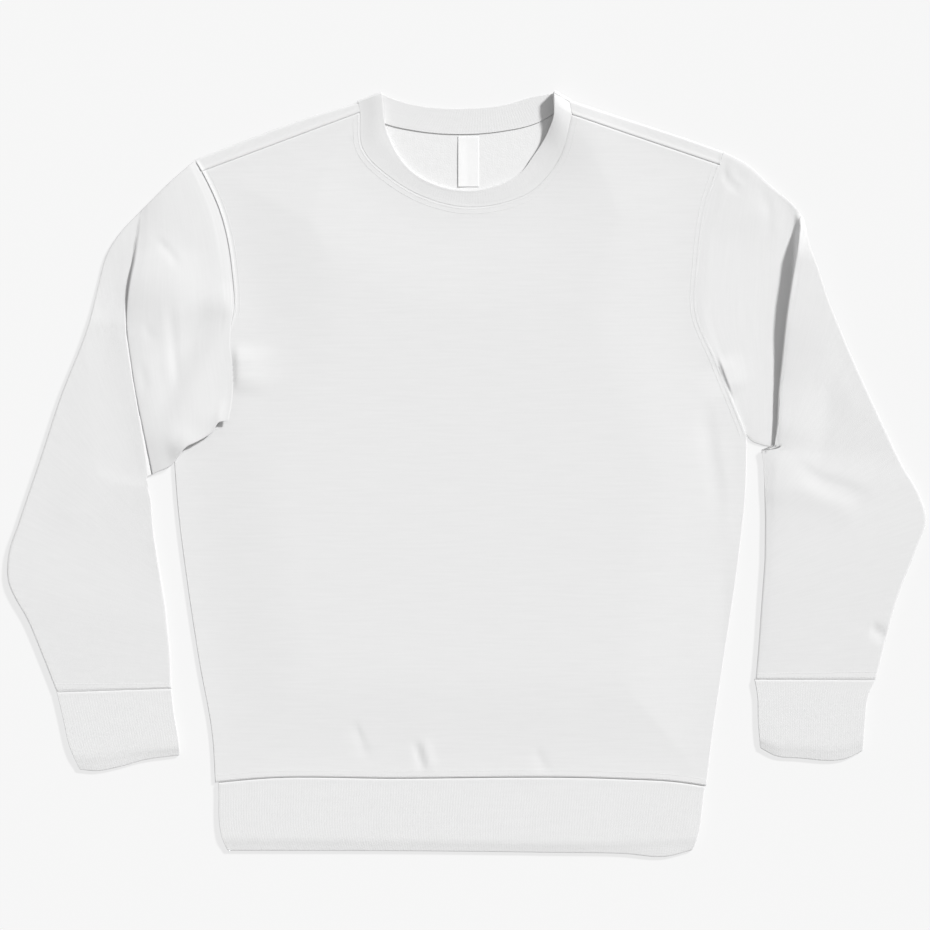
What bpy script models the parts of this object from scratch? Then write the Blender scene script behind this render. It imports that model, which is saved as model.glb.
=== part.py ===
"""A crewneck sweatshirt laid flat on its back, with both sleeves folded down along its sides.

Each piece is one that a maker cuts and sews: front, back, two sleeves, two doubled cuffs, a doubled
hem band, a doubled neckband and a bare label. The garment rests on the plane z = 0 with its front up:
+Y runs from hem to neck and +X is the side called right. Pieces lie 0.3 mm apart at their seams.
Sizes and places are in millimetres, and MM turns them into metres when a mesh is made.
"""

import math
from collections import namedtuple

import bmesh
import bpy
import numpy as np

MM = 0.001
SMOOTH_BELOW = math.radians(40)  # faces that meet at less than this shade as one

# Cloth
FLEECE = 1.8  # one layer of brushed-back fleece
RIB_CLOTH = 2.6  # one wall of doubled rib knit
GAP = 0.3  # between pieces at a seam, and between layers that lie on each other
LAYER_STEP = FLEECE + GAP  # from the middle of the back layer to the middle of the front layer
BACK_MIDDLE = FLEECE / 2
FRONT_MIDDLE = BACK_MIDDLE + LAYER_STEP
BODY_HEIGHT = 2 * FLEECE + GAP

# Rib knit: one rib and one furrow to a pitch
RIB_PITCH = 4.0
RIB_RELIEF = 0.35

# Body, in plan points (x, y) from the middle of the laid-out garment
HEM_LINE = [(-239, -292.5), (-200, -289), (-68, -288.5), (145, -289), (200, -292), (227.5, -296)]
SIDE_LEFT = [(-239, -292.5), (-241.5, -251), (-254.5, -176), (-266, -100), (-274, -37), (-279.5, 36)]
SIDE_RIGHT = [(227.5, -296), (233, -251), (245.5, -166), (257.5, -85), (265, -13), (266, 36)]
ARMHOLE_LEFT = [(-279.5, 36), (-243, 104), (-222, 150), (-223, 195), (-235, 252), (-248, 281), (-258, 299)]
ARMHOLE_RIGHT = [(266, 36), (237, 108), (218.5, 155), (220, 200), (229, 261), (240, 293), (243.5, 306.5)]
CREASE_LEFT = [(-258, 299), (-199.5, 321.5), (-149, 339.5), (-103.5, 353)]
CREASE_RIGHT = [(98, 355), (145.5, 339.5), (211, 318), (243.5, 306.5)]
NECK_POINT_LEFT, NECK_POINT_RIGHT = (-101.5, 344), (100, 341.5)
NECK_FRONT = [
    NECK_POINT_LEFT,
    (-99, 310),
    (-70, 280),
    (-39.5, 263),
    (-2, 254),
    (31.5, 257),
    (60, 268),
    (87, 298),
    NECK_POINT_RIGHT,
]
NECK_BACK = [
    (-103.5, 350),
    (-92, 340),
    (-77.5, 333),
    (-50, 326.5),
    (-13, 323),
    (31, 325.5),
    (65, 333),
    (98, 352),
]

SHOULDER_SHARE = 0.3  # share of a panel's width over one shoulder
SHOULDER_COLUMNS, NECK_COLUMNS = 7, 10
SIDE_ROWS, ARMHOLE_ROWS, BACK_SIDE_ROWS = 8, 10, 4
NECK_SIDE_ROWS, NECK_SIDE_SHARE = 4, 0.17  # the steep sides of the front neck, as a share of its seam
STRIP_SHARE = 0.045  # share of the armhole between the shoulder crease and the forward shoulder seam
CREASE_STEPS = 4
PUFF = 2.5  # how far the front panel stands off the back in its middle
PUFF_STARTS, PUFF_RUN = 0.10, 0.25  # shares of the width, in from each side seam
FOLD_ENDS = 0.4  # share of a soft fold's length over which each of its ends dies out

# Soft folds in the front panel: from (x0, y0) to (x1, y1), as wide and as high as given
Fold = namedtuple("Fold", "x0 y0 x1 y1 width height")
BODY_FOLDS = [
    Fold(228, 95, 244, -50, 13, 2.6),
    Fold(244, -50, 232, -215, 12, 1.6),
    Fold(-52, -235, -40, -286, 14, 1.8),
    Fold(66, -240, 80, -286, 14, 1.4),
]

# Sleeves. "across" is measured out from the middle line, on either side.
# Rows of a sleeve: where its outer and inner edges lie, and how thick the flattened tube is there.
Row = namedtuple("Row", "outer inner height")
# A sleeve's pleat, from its apex at the outer edge (share 0) to the inner edge (share 1): the radius and
# the turn of each bend, how deep the tuck runs, and how far the upper bend stands behind the crisp edge.
Pleat = namedtuple("Pleat", "share radius turn depth lead")
EDGE_SHARE, EDGE_STEPS = 0.028, 3  # the rounded edge's share of a sleeve's width
EDGE_CLEAR = 0.004  # the least share of a width between a rounded edge and the next column
EDGE_HOLD = 5  # the higher, the less a sleeve's outline pulls at the rows between its edges
INNER_INSET, INNER_EDGE = 0.019, 0.02  # the same for its inner skin: how far in it starts, and its taper
BEND_STEPS = 4
PLEAT_HEIGHT = 3.9
PLEAT_CLEAR = 1.0  # the forearm starts to come down this far past the hidden fold
APEX_BLEND = 0.2  # share of the pleat over which its bends turn from the sleeve's outline to the crisp fold
PLEAT_TABLE = [
    Pleat(0.00, 22.0, 8, 0.6, 3.4),
    Pleat(0.05, 8.0, 40, 0.8, 4.2),
    Pleat(0.11, 4.0, 90, 1.2, 4.6),
    Pleat(0.20, 2.8, 140, 3.0, 4.7),
    Pleat(0.32, 2.35, 172, 9.0, 4.4),
    Pleat(0.45, 2.3, 180, 17.0, 4.25),
    Pleat(1.00, 2.3, 180, 45.0, 4.25),
]
FALL, END_FALL = 26.0, 18.0  # how far the forearm takes to come down past the hidden fold and its end

Sleeve = namedtuple("Sleeve", "side armhole upper fold turn forearm lap")
SLEEVE_RIGHT = Sleeve(
    side=1,
    armhole=ARMHOLE_RIGHT,
    upper=[Row((265.5, 295), (270.5, 31.5), 4.6), Row((289, 274), (278, 28.5), 4.4)],
    fold=[(319, 244), (310, 195), (303, 150), (299, 109), (292, 26)],
    turn=[
        Row((324, 221), (277.5, 22), 4.4),
        Row((333.5, 194), (278.5, 7), 4.8),
        Row((342, 168), (279, -9), 5.0),
    ],
    forearm=[
        Row((356, 134), (279.3, -25), 5.2),
        Row((391.5, 55), (280, -48), 5.6),
        Row((413.5, 9), (279.5, -66), 5.8),
        Row((430, -20), (278.5, -82), 5.8),
        Row((436.3, -42), (277.5, -96), 5.8),
        Row((428, -67), (277, -110), 5.8),
        Row((410.5, -112), (275, -138), 5.6),
        Row((388, -194.7), (273, -194.2), 5.4),
    ],
    lap=0.0,
)
SLEEVE_LEFT = Sleeve(
    side=-1,
    armhole=ARMHOLE_LEFT,
    upper=[
        Row((271, 287.5), (243, 38), 4.6),
        Row((284, 276), (262, 21), 4.6),
        Row((297, 263), (280, 6.5), 4.4),
    ],
    fold=[(309.5, 250.5), (317, 208), (323.5, 172), (324, 150), (318, 100), (298.5, -0.5)],
    turn=[
        Row((325.5, 234), (303.5, -3), 4.4),
        Row((341.5, 210), (304, -9), 4.8),
        Row((350, 180), (302, -16), 5.0),
    ],
    forearm=[
        Row((358, 147), (300.5, -22.5), 5.2),
        Row((386.7, 71), (297.5, -52), 5.6),
        Row((404.3, 17), (293.5, -78), 5.8),
        Row((424.5, -43), (288.5, -108), 5.8),
        Row((435.3, -77), (285, -130), 5.8),
        Row((436.3, -96), (284, -142), 5.8),
        Row((415.2, -142), (281.5, -167), 5.6),
        Row((389.3, -206.3), (280.3, -202.8), 5.4),
    ],
    lap=6.3,
)
# The left sleeve's underarm laps onto the front: its visible end, in place of the armhole seam below it
LAP_END = [(-226, 50), (-222.5, 72), (-221.5, 98), (-224.5, 122), (-224, 140)]
LAP_TOP, LAP_RAMP = 166.0, 32.0  # the lap lies on the front up to this y, and comes down over this length
LAP_CLEAR, LAP_FALL = 10.0, 16.0  # past the side seam: level for this far, then down to the floor over this

# Bands: rows from seam to free edge, each as plan points from one side to the other
CUFF_ROWS = {
    "cuff_left": [
        [(-389.3, -206.7), (-280.3, -203.2)],
        [(-384, -229), (-277.5, -228)],
        [(-377, -259), (-273, -255)],
        [(-367.5, -280.5), (-351.5, -282), (-330.5, -278), (-306.5, -271), (-272.5, -266)],
    ],
    "cuff_right": [
        [(273, -194.6), (388, -195.1)],
        [(275.5, -208), (382, -207)],
        [(276.5, -235), (378, -235)],
        [(278.5, -259.5), (294, -267.5), (314.5, -269.5), (361, -269.5), (376, -262)],
    ],
}
HEM_ROWS = [
    [(-231, -349), (-68, -350), (145, -352), (217.5, -349)],
    [(-227, -357.3), (-55, -357.5), (82, -358.8), (150, -360.3), (188, -363.75), (214.5, -356.5)],
]
HEM_SEAM_INSET = 3.0  # the band is this much narrower than the body at either end of the seam
CUFF_COLUMNS = 8  # in a cuff's plain faces
CUFF_EDGE, HEM_EDGE = 0.03, 0.008  # the rounded edges' shares of each band's width
BAND_HEIGHT = 2 * RIB_CLOTH + GAP
INNER_SLACK = 1.1  # a band's hollow starts this many walls in from its rounded edge

# Neckband: free edges, and the creases where the band turns from the front layer to the back layer
BAND_FREE_FRONT = [(-75, 322.5), (-54, 289.5), (-11, 270.5), (12.5, 270.5), (55.5, 289.5), (79, 327)]
BAND_FREE_BACK = [(58, 357.5), (42, 352.5), (-1.5, 347.5), (-44.5, 350), (-71, 357)]
# A crease runs from the band's seam to its free edge, and the bend's radius may grow towards the free edge
Crease = namedtuple("Crease", "seam free seam_radius free_radius")
BAND_CREASE_LEFT = Crease((-102.2, 353.3), (-81.5, 363.5), 1.45, 1.6)
BAND_CREASE_RIGHT = Crease((96.6, 355.4), (83, 364.5), 1.45, 3.4)
BAND_LIFT_RUN = 0.3  # share of the front band over which its lifted free edge comes down
BAND_TURNS = (60, 30, 0, -30, -60)  # steps of the turn at a crease, in degrees from its outermost line
BAND_ROUNDING = 0.8  # the band's two faces stop this far short of its rounded free edge

# Label, hung from the back neck seam
LABEL_SIZE, LABEL_THICKNESS = (20.0, 48.0), 0.6
LABEL_CENTRE = (1.5, 297.0)

# Finishes: colour, roughness
WHITE_FLEECE = ((0.82, 0.82, 0.815, 1.0), 0.92)
WHITE_RIB = ((0.82, 0.82, 0.815, 1.0), 0.9)
LABEL_WHITE = ((0.9, 0.9, 0.9, 1.0), 0.6)


def smoothstep(value):
    share = np.clip(value, 0.0, 1.0)
    return share * share * (3.0 - 2.0 * share)


def along(polyline, fractions):
    """Points at the given shares of a polyline's length."""
    polyline = np.asarray(polyline, float)
    length = np.concatenate([[0.0], np.cumsum(np.linalg.norm(np.diff(polyline, axis=0), axis=1))])
    wanted = np.asarray(fractions, float) * length[-1]
    return np.stack([np.interp(wanted, length, column) for column in polyline.T], axis=-1)


def smooth_curve(points, fractions):
    """Points at the given shares of the length of a smooth curve through the named points."""
    knots = np.asarray(points, float)
    at = np.concatenate([[0.0], np.cumsum(np.linalg.norm(np.diff(knots, axis=0), axis=1))])
    slopes = np.gradient(knots, at, axis=0)
    t = np.linspace(0.0, at[-1], 24 * (len(knots) - 1) + 1)
    span = np.clip(np.searchsorted(at, t, side="right") - 1, 0, len(knots) - 2)
    width = (at[span + 1] - at[span])[:, None]
    s = (t - at[span])[:, None] / width
    fine = (
        (2 * s**3 - 3 * s**2 + 1) * knots[span]
        + (s**3 - 2 * s**2 + s) * width * slopes[span]
        + (3 * s**2 - 2 * s**3) * knots[span + 1]
        + (s**3 - s**2) * width * slopes[span + 1]
    )
    return along(fine, fractions)


def shares(count):
    return np.linspace(0.0, 1.0, count + 1)


def outward(polyline, side):
    """Unit plan normals along a polyline, turned to the given side of its direction."""
    run = np.gradient(polyline, axis=0)
    run /= np.linalg.norm(run, axis=1, keepdims=True)
    return side * np.stack([-run[:, 1], run[:, 0]], axis=-1)


def grid_normals(grid):
    """Unit normals of a grid of points, rows by columns."""
    normal = np.cross(np.gradient(grid, axis=1), np.gradient(grid, axis=0))
    return normal / np.linalg.norm(normal, axis=2, keepdims=True)


def grid_faces(index, closed=False):
    """Quads over a grid of point numbers; closed joins the last column to the first."""
    if closed:
        index = np.concatenate([index, index[:, :1]], axis=1)
    quads = np.stack([index[:-1, :-1], index[:-1, 1:], index[1:, 1:], index[1:, :-1]], axis=-1)
    return quads.reshape(-1, 4).tolist()


def rim_faces(outer, outer_at, inner, inner_at):
    """Triangles between two loops of point numbers, whose places round the loop rise from 0 to 2."""
    faces, i, j = [], 0, 0
    while i < len(outer) or j < len(inner):
        next_outer = outer_at[i + 1] if i + 1 < len(outer) else 2.0
        next_inner = inner_at[j + 1] if j + 1 < len(inner) else 2.0
        a, b = outer[i % len(outer)], inner[j % len(inner)]
        if j == len(inner) or (i < len(outer) and next_outer <= next_inner):
            faces.append([a, outer[(i + 1) % len(outer)], b])
            i += 1
        else:
            faces.append([a, inner[(j + 1) % len(inner)], b])
            j += 1
    return faces


def material(name, finish):
    colour, roughness = finish
    made = bpy.data.materials.new(name)
    made.use_nodes = True
    shader = made.node_tree.nodes["Principled BSDF"]
    shader.inputs["Base Color"].default_value = colour
    shader.inputs["Roughness"].default_value = roughness
    shader.inputs["Metallic"].default_value = 0.0
    return made


def add_mesh(name, points, faces, finish):
    """A named object in the garment's collection, from points in millimetres."""
    mesh = bpy.data.meshes.new(name)
    mesh.from_pydata((np.asarray(points) * MM).tolist(), [], faces)
    cage = bmesh.new()
    cage.from_mesh(mesh)
    bmesh.ops.recalc_face_normals(cage, faces=cage.faces)
    cage.to_mesh(mesh)
    cage.free()
    mesh.shade_smooth()
    mesh.set_sharp_from_angle(angle=SMOOTH_BELOW)
    obj = bpy.data.objects.new(name, mesh)
    obj.data.materials.append(material(name, finish))
    bpy.data.collections["crewneck_sweatshirt"].objects.link(obj)
    return obj


def add_cloth(name, points, faces, thickness, finish):
    """An open sheet, thickened evenly to both sides."""
    obj = add_mesh(name, points, faces, finish)
    wall = obj.modifiers.new("wall", "SOLIDIFY")
    wall.thickness = thickness * MM
    wall.offset = 0.0
    wall.use_even_offset = True
    return obj


def edge_columns(inset, rounding, columns, steps):
    """Shares across a flattened tube, closer together in its rounded edges, and how full it is there."""
    turn = np.radians(np.linspace(0, 90, steps + 1))
    start = inset + rounding * (1 - np.cos(turn))
    full = np.sin(turn)
    clear = start[-1] + EDGE_CLEAR
    middle = columns[(columns > clear) & (columns < 1 - clear)]
    across = np.concatenate([start, middle, 1 - start[::-1]])
    fullness = np.concatenate([full, np.ones(len(middle)), full[::-1]])
    return across, fullness


def flat_tube(name, outer_top, outer_under, inner_top, inner_under, places, finish):
    """A tube pressed flat, open at both ends, from the upper and under faces of its two skins."""
    top_at, under_at, inner_at = places
    outer = np.concatenate([outer_top, outer_under[:, -2:0:-1]], axis=1)
    inner = np.concatenate([inner_top, inner_under[:, -2:0:-1]], axis=1)
    outer_place = np.concatenate([top_at, 2 - under_at[-2:0:-1]])
    inner_place = np.concatenate([inner_at, 2 - inner_at[-2:0:-1]])
    outer_index = np.arange(outer[..., 0].size).reshape(outer.shape[:2])
    inner_index = np.arange(inner[..., 0].size).reshape(inner.shape[:2]) + outer_index.size
    faces = grid_faces(outer_index, closed=True)
    faces += [face[::-1] for face in grid_faces(inner_index, closed=True)]
    for row, turned in ((0, 1), (-1, -1)):
        rim = rim_faces(outer_index[row], outer_place, inner_index[row], inner_place)
        faces += [face[::turned] for face in rim]
    points = np.concatenate([outer.reshape(-1, 3), inner.reshape(-1, 3)])
    return add_mesh(name, points, faces, finish)


# ---------------------------------------------------------------- body


def body_columns():
    """Shares across the body, with the neck points on columns."""
    left = shares(SHOULDER_COLUMNS) * SHOULDER_SHARE
    neck = SHOULDER_SHARE + shares(NECK_COLUMNS) * (1 - 2 * SHOULDER_SHARE)
    return np.concatenate([left, neck[1:-1], 1 - left[::-1]])


def armhole(points):
    """The armhole as a polygon, from underarm to shoulder crease, that panels and sleeves share."""
    return smooth_curve(points, shares(ARMHOLE_ROWS))


def side_edge(side, rows, hole, last_share):
    """A panel's edge: up the side seam to the underarm, then round the armhole."""
    seam = smooth_curve(side, shares(rows))
    rise = shares(ARMHOLE_ROWS)
    rise[-1] = last_share
    return np.concatenate([seam, along(hole, rise)[1:]])


def fill_patch(bottom, top, left, right, u):
    """Plan points inside four edges, rows from bottom to top, with its columns at the shares u."""
    u = u[None, :, None]
    w = np.linspace(0, 1, len(left))[:, None, None]
    low_corners = (1 - w) * ((1 - u) * bottom[0] + u * bottom[-1])
    high_corners = w * ((1 - u) * top[0] + u * top[-1])
    along_rows = (1 - w) * bottom + w * top
    along_columns = (1 - u) * left[:, None] + u * right[:, None]
    return along_rows + along_columns - low_corners - high_corners


def neck_front():
    """The front neck seam as a polygon that panel and band share: a steep side, the scoop, a steep side."""
    side = shares(NECK_SIDE_ROWS) * NECK_SIDE_SHARE
    scoop = NECK_SIDE_SHARE + shares(NECK_COLUMNS) * (1 - 2 * NECK_SIDE_SHARE)
    return smooth_curve(NECK_FRONT, np.concatenate([side, scoop[1:-1], 1 - side[::-1]]))


def shoulder_seam(hole, neck_point):
    """The forward shoulder seam's points, from the armhole to the neck point."""
    start = along(armhole(hole), [1 - STRIP_SHARE])[0]
    return start + shares(SHOULDER_COLUMNS)[:, None] * (np.asarray(neck_point, float) - start)


def fold_rise(x, y):
    """How far the soft folds lift the front panel at a plan point."""
    rise = np.zeros_like(x)
    for fold in BODY_FOLDS:
        run = np.array([fold.x1 - fold.x0, fold.y1 - fold.y0])
        length = np.linalg.norm(run)
        t = np.clip(((x - fold.x0) * run[0] + (y - fold.y0) * run[1]) / length**2, 0, 1)
        away = np.abs((x - fold.x0) * run[1] - (y - fold.y0) * run[0]) / length
        ends = smoothstep(t / FOLD_ENDS) * smoothstep((1 - t) / FOLD_ENDS)
        rise += fold.height * np.exp(-((away / fold.width) ** 2)) * ends
    return rise


def front_height(plan, u, w):
    """The middle of the front panel's cloth: flat at its edges, standing off the back between them."""
    from_side = smoothstep((np.minimum(u, 1 - u) - PUFF_STARTS) / PUFF_RUN)
    from_ends = np.sqrt(np.abs(np.sin(np.pi * w)))
    return FRONT_MIDDLE + (PUFF * from_side + fold_rise(plan[..., 0], plan[..., 1])) * from_ends


def make_front():
    """The front panel: a block below the neck, and a flat one over each shoulder beside it."""
    bottom = smooth_curve(HEM_LINE, body_columns()) + [0, GAP / 2]
    left = side_edge(SIDE_LEFT, SIDE_ROWS, armhole(ARMHOLE_LEFT), 1 - STRIP_SHARE)
    right = side_edge(SIDE_RIGHT, SIDE_ROWS, armhole(ARMHOLE_RIGHT), 1 - STRIP_SHARE)
    left[0], right[0] = bottom[0], bottom[-1]
    neck = neck_front()
    steep = NECK_SIDE_ROWS
    level = len(left) - 1 - steep
    across = shares(SHOULDER_COLUMNS)[:, None]
    below_left = left[level] + across * (neck[steep] - left[level])
    below_right = neck[-1 - steep] + across * (right[level] - neck[-1 - steep])
    top = np.concatenate([below_left, neck[steep + 1 : -1 - steep], below_right])
    lower = fill_patch(bottom, top, left[: level + 1], right[: level + 1], body_columns())
    height = front_height(lower, body_columns()[None, :], shares(level)[:, None])
    points = np.dstack([lower, height]).reshape(-1, 3)
    index = np.arange(height.size).reshape(height.shape)
    faces = grid_faces(index)

    count = SHOULDER_COLUMNS + 1
    seam_left = shoulder_seam(ARMHOLE_LEFT, NECK_POINT_LEFT)
    seam_right = shoulder_seam(ARMHOLE_RIGHT, NECK_POINT_RIGHT)[::-1]
    blocks = (
        (slice(0, count), below_left, seam_left, left[level:], neck[steep::-1]),
        (slice(-count, None), below_right, seam_right, neck[-1 - steep :], right[level:]),
    )
    for columns, base, seam, low_side, high_side in blocks:
        block = fill_patch(base, seam, low_side, high_side, shares(SHOULDER_COLUMNS))[1:]
        height = np.full(block.shape[:2], FRONT_MIDDLE)
        numbers = np.arange(height.size).reshape(height.shape) + len(points)
        points = np.concatenate([points, np.dstack([block, height]).reshape(-1, 3)])
        faces += grid_faces(np.concatenate([index[-1:, columns], numbers]))
    add_cloth("front", points, faces, FLEECE, WHITE_FLEECE)


def crease_strip(start, crease_normal, seam, index, first):
    """Rows of the back panel that turn over a shoulder crease and come forward to the shoulder seam."""
    radius = LAYER_STEP / 2
    rows = []
    for angle in np.radians(np.linspace(0, 180, CREASE_STEPS + 1))[1:]:
        plan = start + crease_normal * radius * math.sin(angle)
        height = BACK_MIDDLE + radius * (1 - math.cos(angle))
        rows.append(np.column_stack([plan, np.full(len(plan), height)]))
    rows.append(np.column_stack([seam, np.full(len(seam), FRONT_MIDDLE)]))
    points = np.stack(rows)
    numbers = np.arange(points[..., 0].size).reshape(points.shape[:2]) + first
    return points.reshape(-1, 3), grid_faces(np.concatenate([index[None, :], numbers]))


def make_back():
    """The back panel, carried over the shoulder creases to the forward shoulder seams."""
    bottom = smooth_curve(HEM_LINE, body_columns()) + [0, GAP / 2]
    bend = FLEECE / 2 + LAYER_STEP / 2
    creases, normals = [], []
    for crease in (CREASE_LEFT, CREASE_RIGHT):
        line = smooth_curve(crease, shares(SHOULDER_COLUMNS))
        normal = outward(line, 1)
        creases.append(line - normal * bend)
        normals.append(normal)
    neck = smooth_curve(NECK_BACK, shares(NECK_COLUMNS)) - [0, GAP]
    top = np.concatenate([creases[0], neck[1:-1], creases[1]])
    left = side_edge(SIDE_LEFT, BACK_SIDE_ROWS, armhole(ARMHOLE_LEFT), 1.0)
    right = side_edge(SIDE_RIGHT, BACK_SIDE_ROWS, armhole(ARMHOLE_RIGHT), 1.0)
    left[0], right[0], left[-1], right[-1] = bottom[0], bottom[-1], top[0], top[-1]
    plan = fill_patch(bottom, top, left, right, body_columns())
    points = np.dstack([plan, np.full(plan.shape[:2], BACK_MIDDLE)]).reshape(-1, 3)
    index = np.arange(plan[..., 0].size).reshape(plan.shape[:2])
    faces = grid_faces(index)

    count = SHOULDER_COLUMNS + 1
    seam_left = shoulder_seam(ARMHOLE_LEFT, NECK_POINT_LEFT)
    seam_right = shoulder_seam(ARMHOLE_RIGHT, NECK_POINT_RIGHT)[::-1]
    strips = (
        (slice(0, count), creases[0], normals[0], seam_left),
        (slice(-count, None), creases[1], normals[1], seam_right),
    )
    for columns, start, normal, seam in strips:
        forward = seam + normal * GAP
        strip, strip_faces = crease_strip(start, normal, forward, index[-1, columns], len(points))
        points = np.concatenate([points, strip])
        faces += strip_faces
    add_cloth("back", points, faces, FLEECE, WHITE_FLEECE)


# ---------------------------------------------------------------- sleeves


def pleat_at(share):
    """The pleat's sizes at shares of the way in from its apex."""
    knots, *columns = np.array(PLEAT_TABLE, float).T
    radius, turn, depth, lead = (np.interp(share, knots, column) for column in columns)
    return radius, np.radians(turn), depth, lead


def pleat_rise(share):
    """How far the forearm stands above the sleeve's low layer, over the pleat."""
    radius, turn, depth, _ = pleat_at(share)
    return 2 * radius * (1 - np.cos(turn)) + depth * np.sin(turn)


def lap_rise(sleeve, plan):
    """How far the sleeve's underarm is lifted by the front panel that it laps onto."""
    x, y = plan[..., 0], plan[..., 1]
    if not sleeve.lap:
        return np.zeros_like(x)
    low = np.array(SIDE_LEFT[-2:] + [ARMHOLE_LEFT[1], ARMHOLE_LEFT[2]], float)
    edge = np.interp(y, low[:, 1], -low[:, 0])
    beside = 1 - smoothstep((x - edge - LAP_CLEAR) / LAP_FALL)
    below = 1 - smoothstep((y - LAP_TOP) / LAP_RAMP)
    return sleeve.lap * beside * below


def fold_frame(sleeve):
    """The crisp fold: its apex, its direction, the direction of travel across it, and its length."""
    fold = np.asarray(sleeve.fold, float)
    run = fold[-1] - fold[0]
    length = np.linalg.norm(run)
    run /= length
    return fold[0], run, np.array([-run[1], run[0]]), length


def forearm_rise(sleeve, plan):
    """How far the forearm is lifted by the tucked layers that it lies on."""
    apex, run, travel, length = fold_frame(sleeve)
    share = (plan - apex) @ run / length
    inside = np.clip(share, 0, 1)
    past = (plan - smooth_curve(sleeve.fold, inside)) @ travel
    radius, _, depth, lead = pleat_at(inside)
    reach = lead + depth + radius + PLEAT_HEIGHT / 2 + PLEAT_CLEAR
    over = 1 - smoothstep((past - reach) / FALL)
    end = 1 - smoothstep((share - 1) * length / END_FALL)
    return pleat_rise(inside) * over * end


def between(start, end, rows, across):
    """Plan rows from one row to the next, whose ends keep to the sleeve's outer and inner edges."""
    near_outer = (1 - across)[:, None] ** EDGE_HOLD
    near_inner = across[:, None] ** EDGE_HOLD
    made = []
    for number, row in enumerate(rows, 1):
        share = number / (len(rows) + 1)
        plan = start * (1 - share) + end * share
        plan = plan + near_outer * (row.outer - plan[0]) + near_inner * (row.inner - plan[-1])
        made.append(plan)
    return made


def sleeve_middle(sleeve, end_line, across):
    """A flattened sleeve's underside, armhole to cuff: plan points, and the tube's height and lift there."""
    travel = fold_frame(sleeve)[2]
    fold = smooth_curve(sleeve.fold, across)
    radius, turn, depth, lead = pleat_at(across)
    outline = np.subtract(sleeve.turn[0].outer, sleeve.upper[-1].outer)
    outline = outline / np.linalg.norm(outline)
    blend = smoothstep(across / APEX_BLEND)[:, None]
    heading = (1 - blend) * outline + blend * travel
    heading /= np.linalg.norm(heading, axis=1, keepdims=True)
    start = lead - 2 * radius * np.sin(turn) - depth * np.cos(turn)
    low_end = fold + heading * start[:, None]
    high_start = fold + heading * lead[:, None]
    rows = []

    def flat(plan, height, rise):
        rows.append(np.column_stack([plan, np.full(len(plan), height), rise]))

    hole = np.stack([np.interp(across, shares(ARMHOLE_ROWS), column) for column in end_line[::-1].T], axis=-1)
    flat(hole, BODY_HEIGHT, lap_rise(sleeve, hole))
    for plan, row in zip(between(hole, low_end, sleeve.upper, across), sleeve.upper):
        flat(plan, row.height, lap_rise(sleeve, plan))
    base = lap_rise(sleeve, low_end)
    turned = radius * (1 - np.cos(turn)) + depth * np.sin(turn)
    for share in shares(BEND_STEPS):
        plan = fold + heading * (start + radius * np.sin(turn * share))[:, None]
        flat(plan, PLEAT_HEIGHT, base + radius * (1 - np.cos(turn * share)))
    for share in shares(BEND_STEPS)[::-1]:
        plan = fold + heading * (lead - radius * np.sin(turn * share))[:, None]
        flat(plan, PLEAT_HEIGHT, base + turned + radius * (np.cos(turn * share) - np.cos(turn)))
    straight = [row.outer + across[:, None] * np.subtract(row.inner, row.outer) for row in sleeve.forearm]
    for plan, row in zip(between(high_start, straight[0], sleeve.turn, across), sleeve.turn):
        flat(plan, row.height, forearm_rise(sleeve, plan))
    for plan, row in zip(straight, sleeve.forearm):
        flat(plan, row.height, forearm_rise(sleeve, plan))
    made = np.stack(rows)
    return made[..., :2], made[..., 2], made[..., 3]


def make_sleeve(name, sleeve):
    """A sleeve pressed flat and pleated where the forearm folds down, open at the armhole and the cuff."""
    end_line = armhole(sleeve.armhole)
    if sleeve.lap:
        end_line[: len(LAP_END)] = LAP_END
    end_line = end_line * [sleeve.side, 1] + [GAP, 0]
    outer_skin = (0.0, EDGE_SHARE, 0.0, EDGE_STEPS)
    inner_skin = (INNER_INSET, INNER_EDGE, FLEECE, 1)
    skins = []
    for inset, rounding, wall, steps in (outer_skin, inner_skin):
        across, fullness = edge_columns(inset, rounding, shares(ARMHOLE_ROWS), steps)
        plan, height, lift = sleeve_middle(sleeve, end_line, across)
        middle = np.dstack([plan[..., 0] * sleeve.side, plan[..., 1], lift])
        normal = grid_normals(middle)
        normal *= np.sign(normal[0, normal.shape[1] // 2, 2])
        centre = middle + np.dstack([np.zeros_like(height), np.zeros_like(height), height / 2])
        half = (height / 2 - wall) * fullness
        skins.append((across, centre + normal * half[..., None], centre - normal * half[..., None]))
    (outer_at, outer_top, outer_under), (inner_at, inner_top, inner_under) = skins
    places = (outer_at, outer_at, inner_at)
    flat_tube(name, outer_top, outer_under, inner_top, inner_under, places, WHITE_FLEECE)


# ---------------------------------------------------------------- bands


def rib_columns(width):
    """Shares across a band, two to a rib."""
    return shares(2 * round(width / RIB_PITCH))


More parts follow.
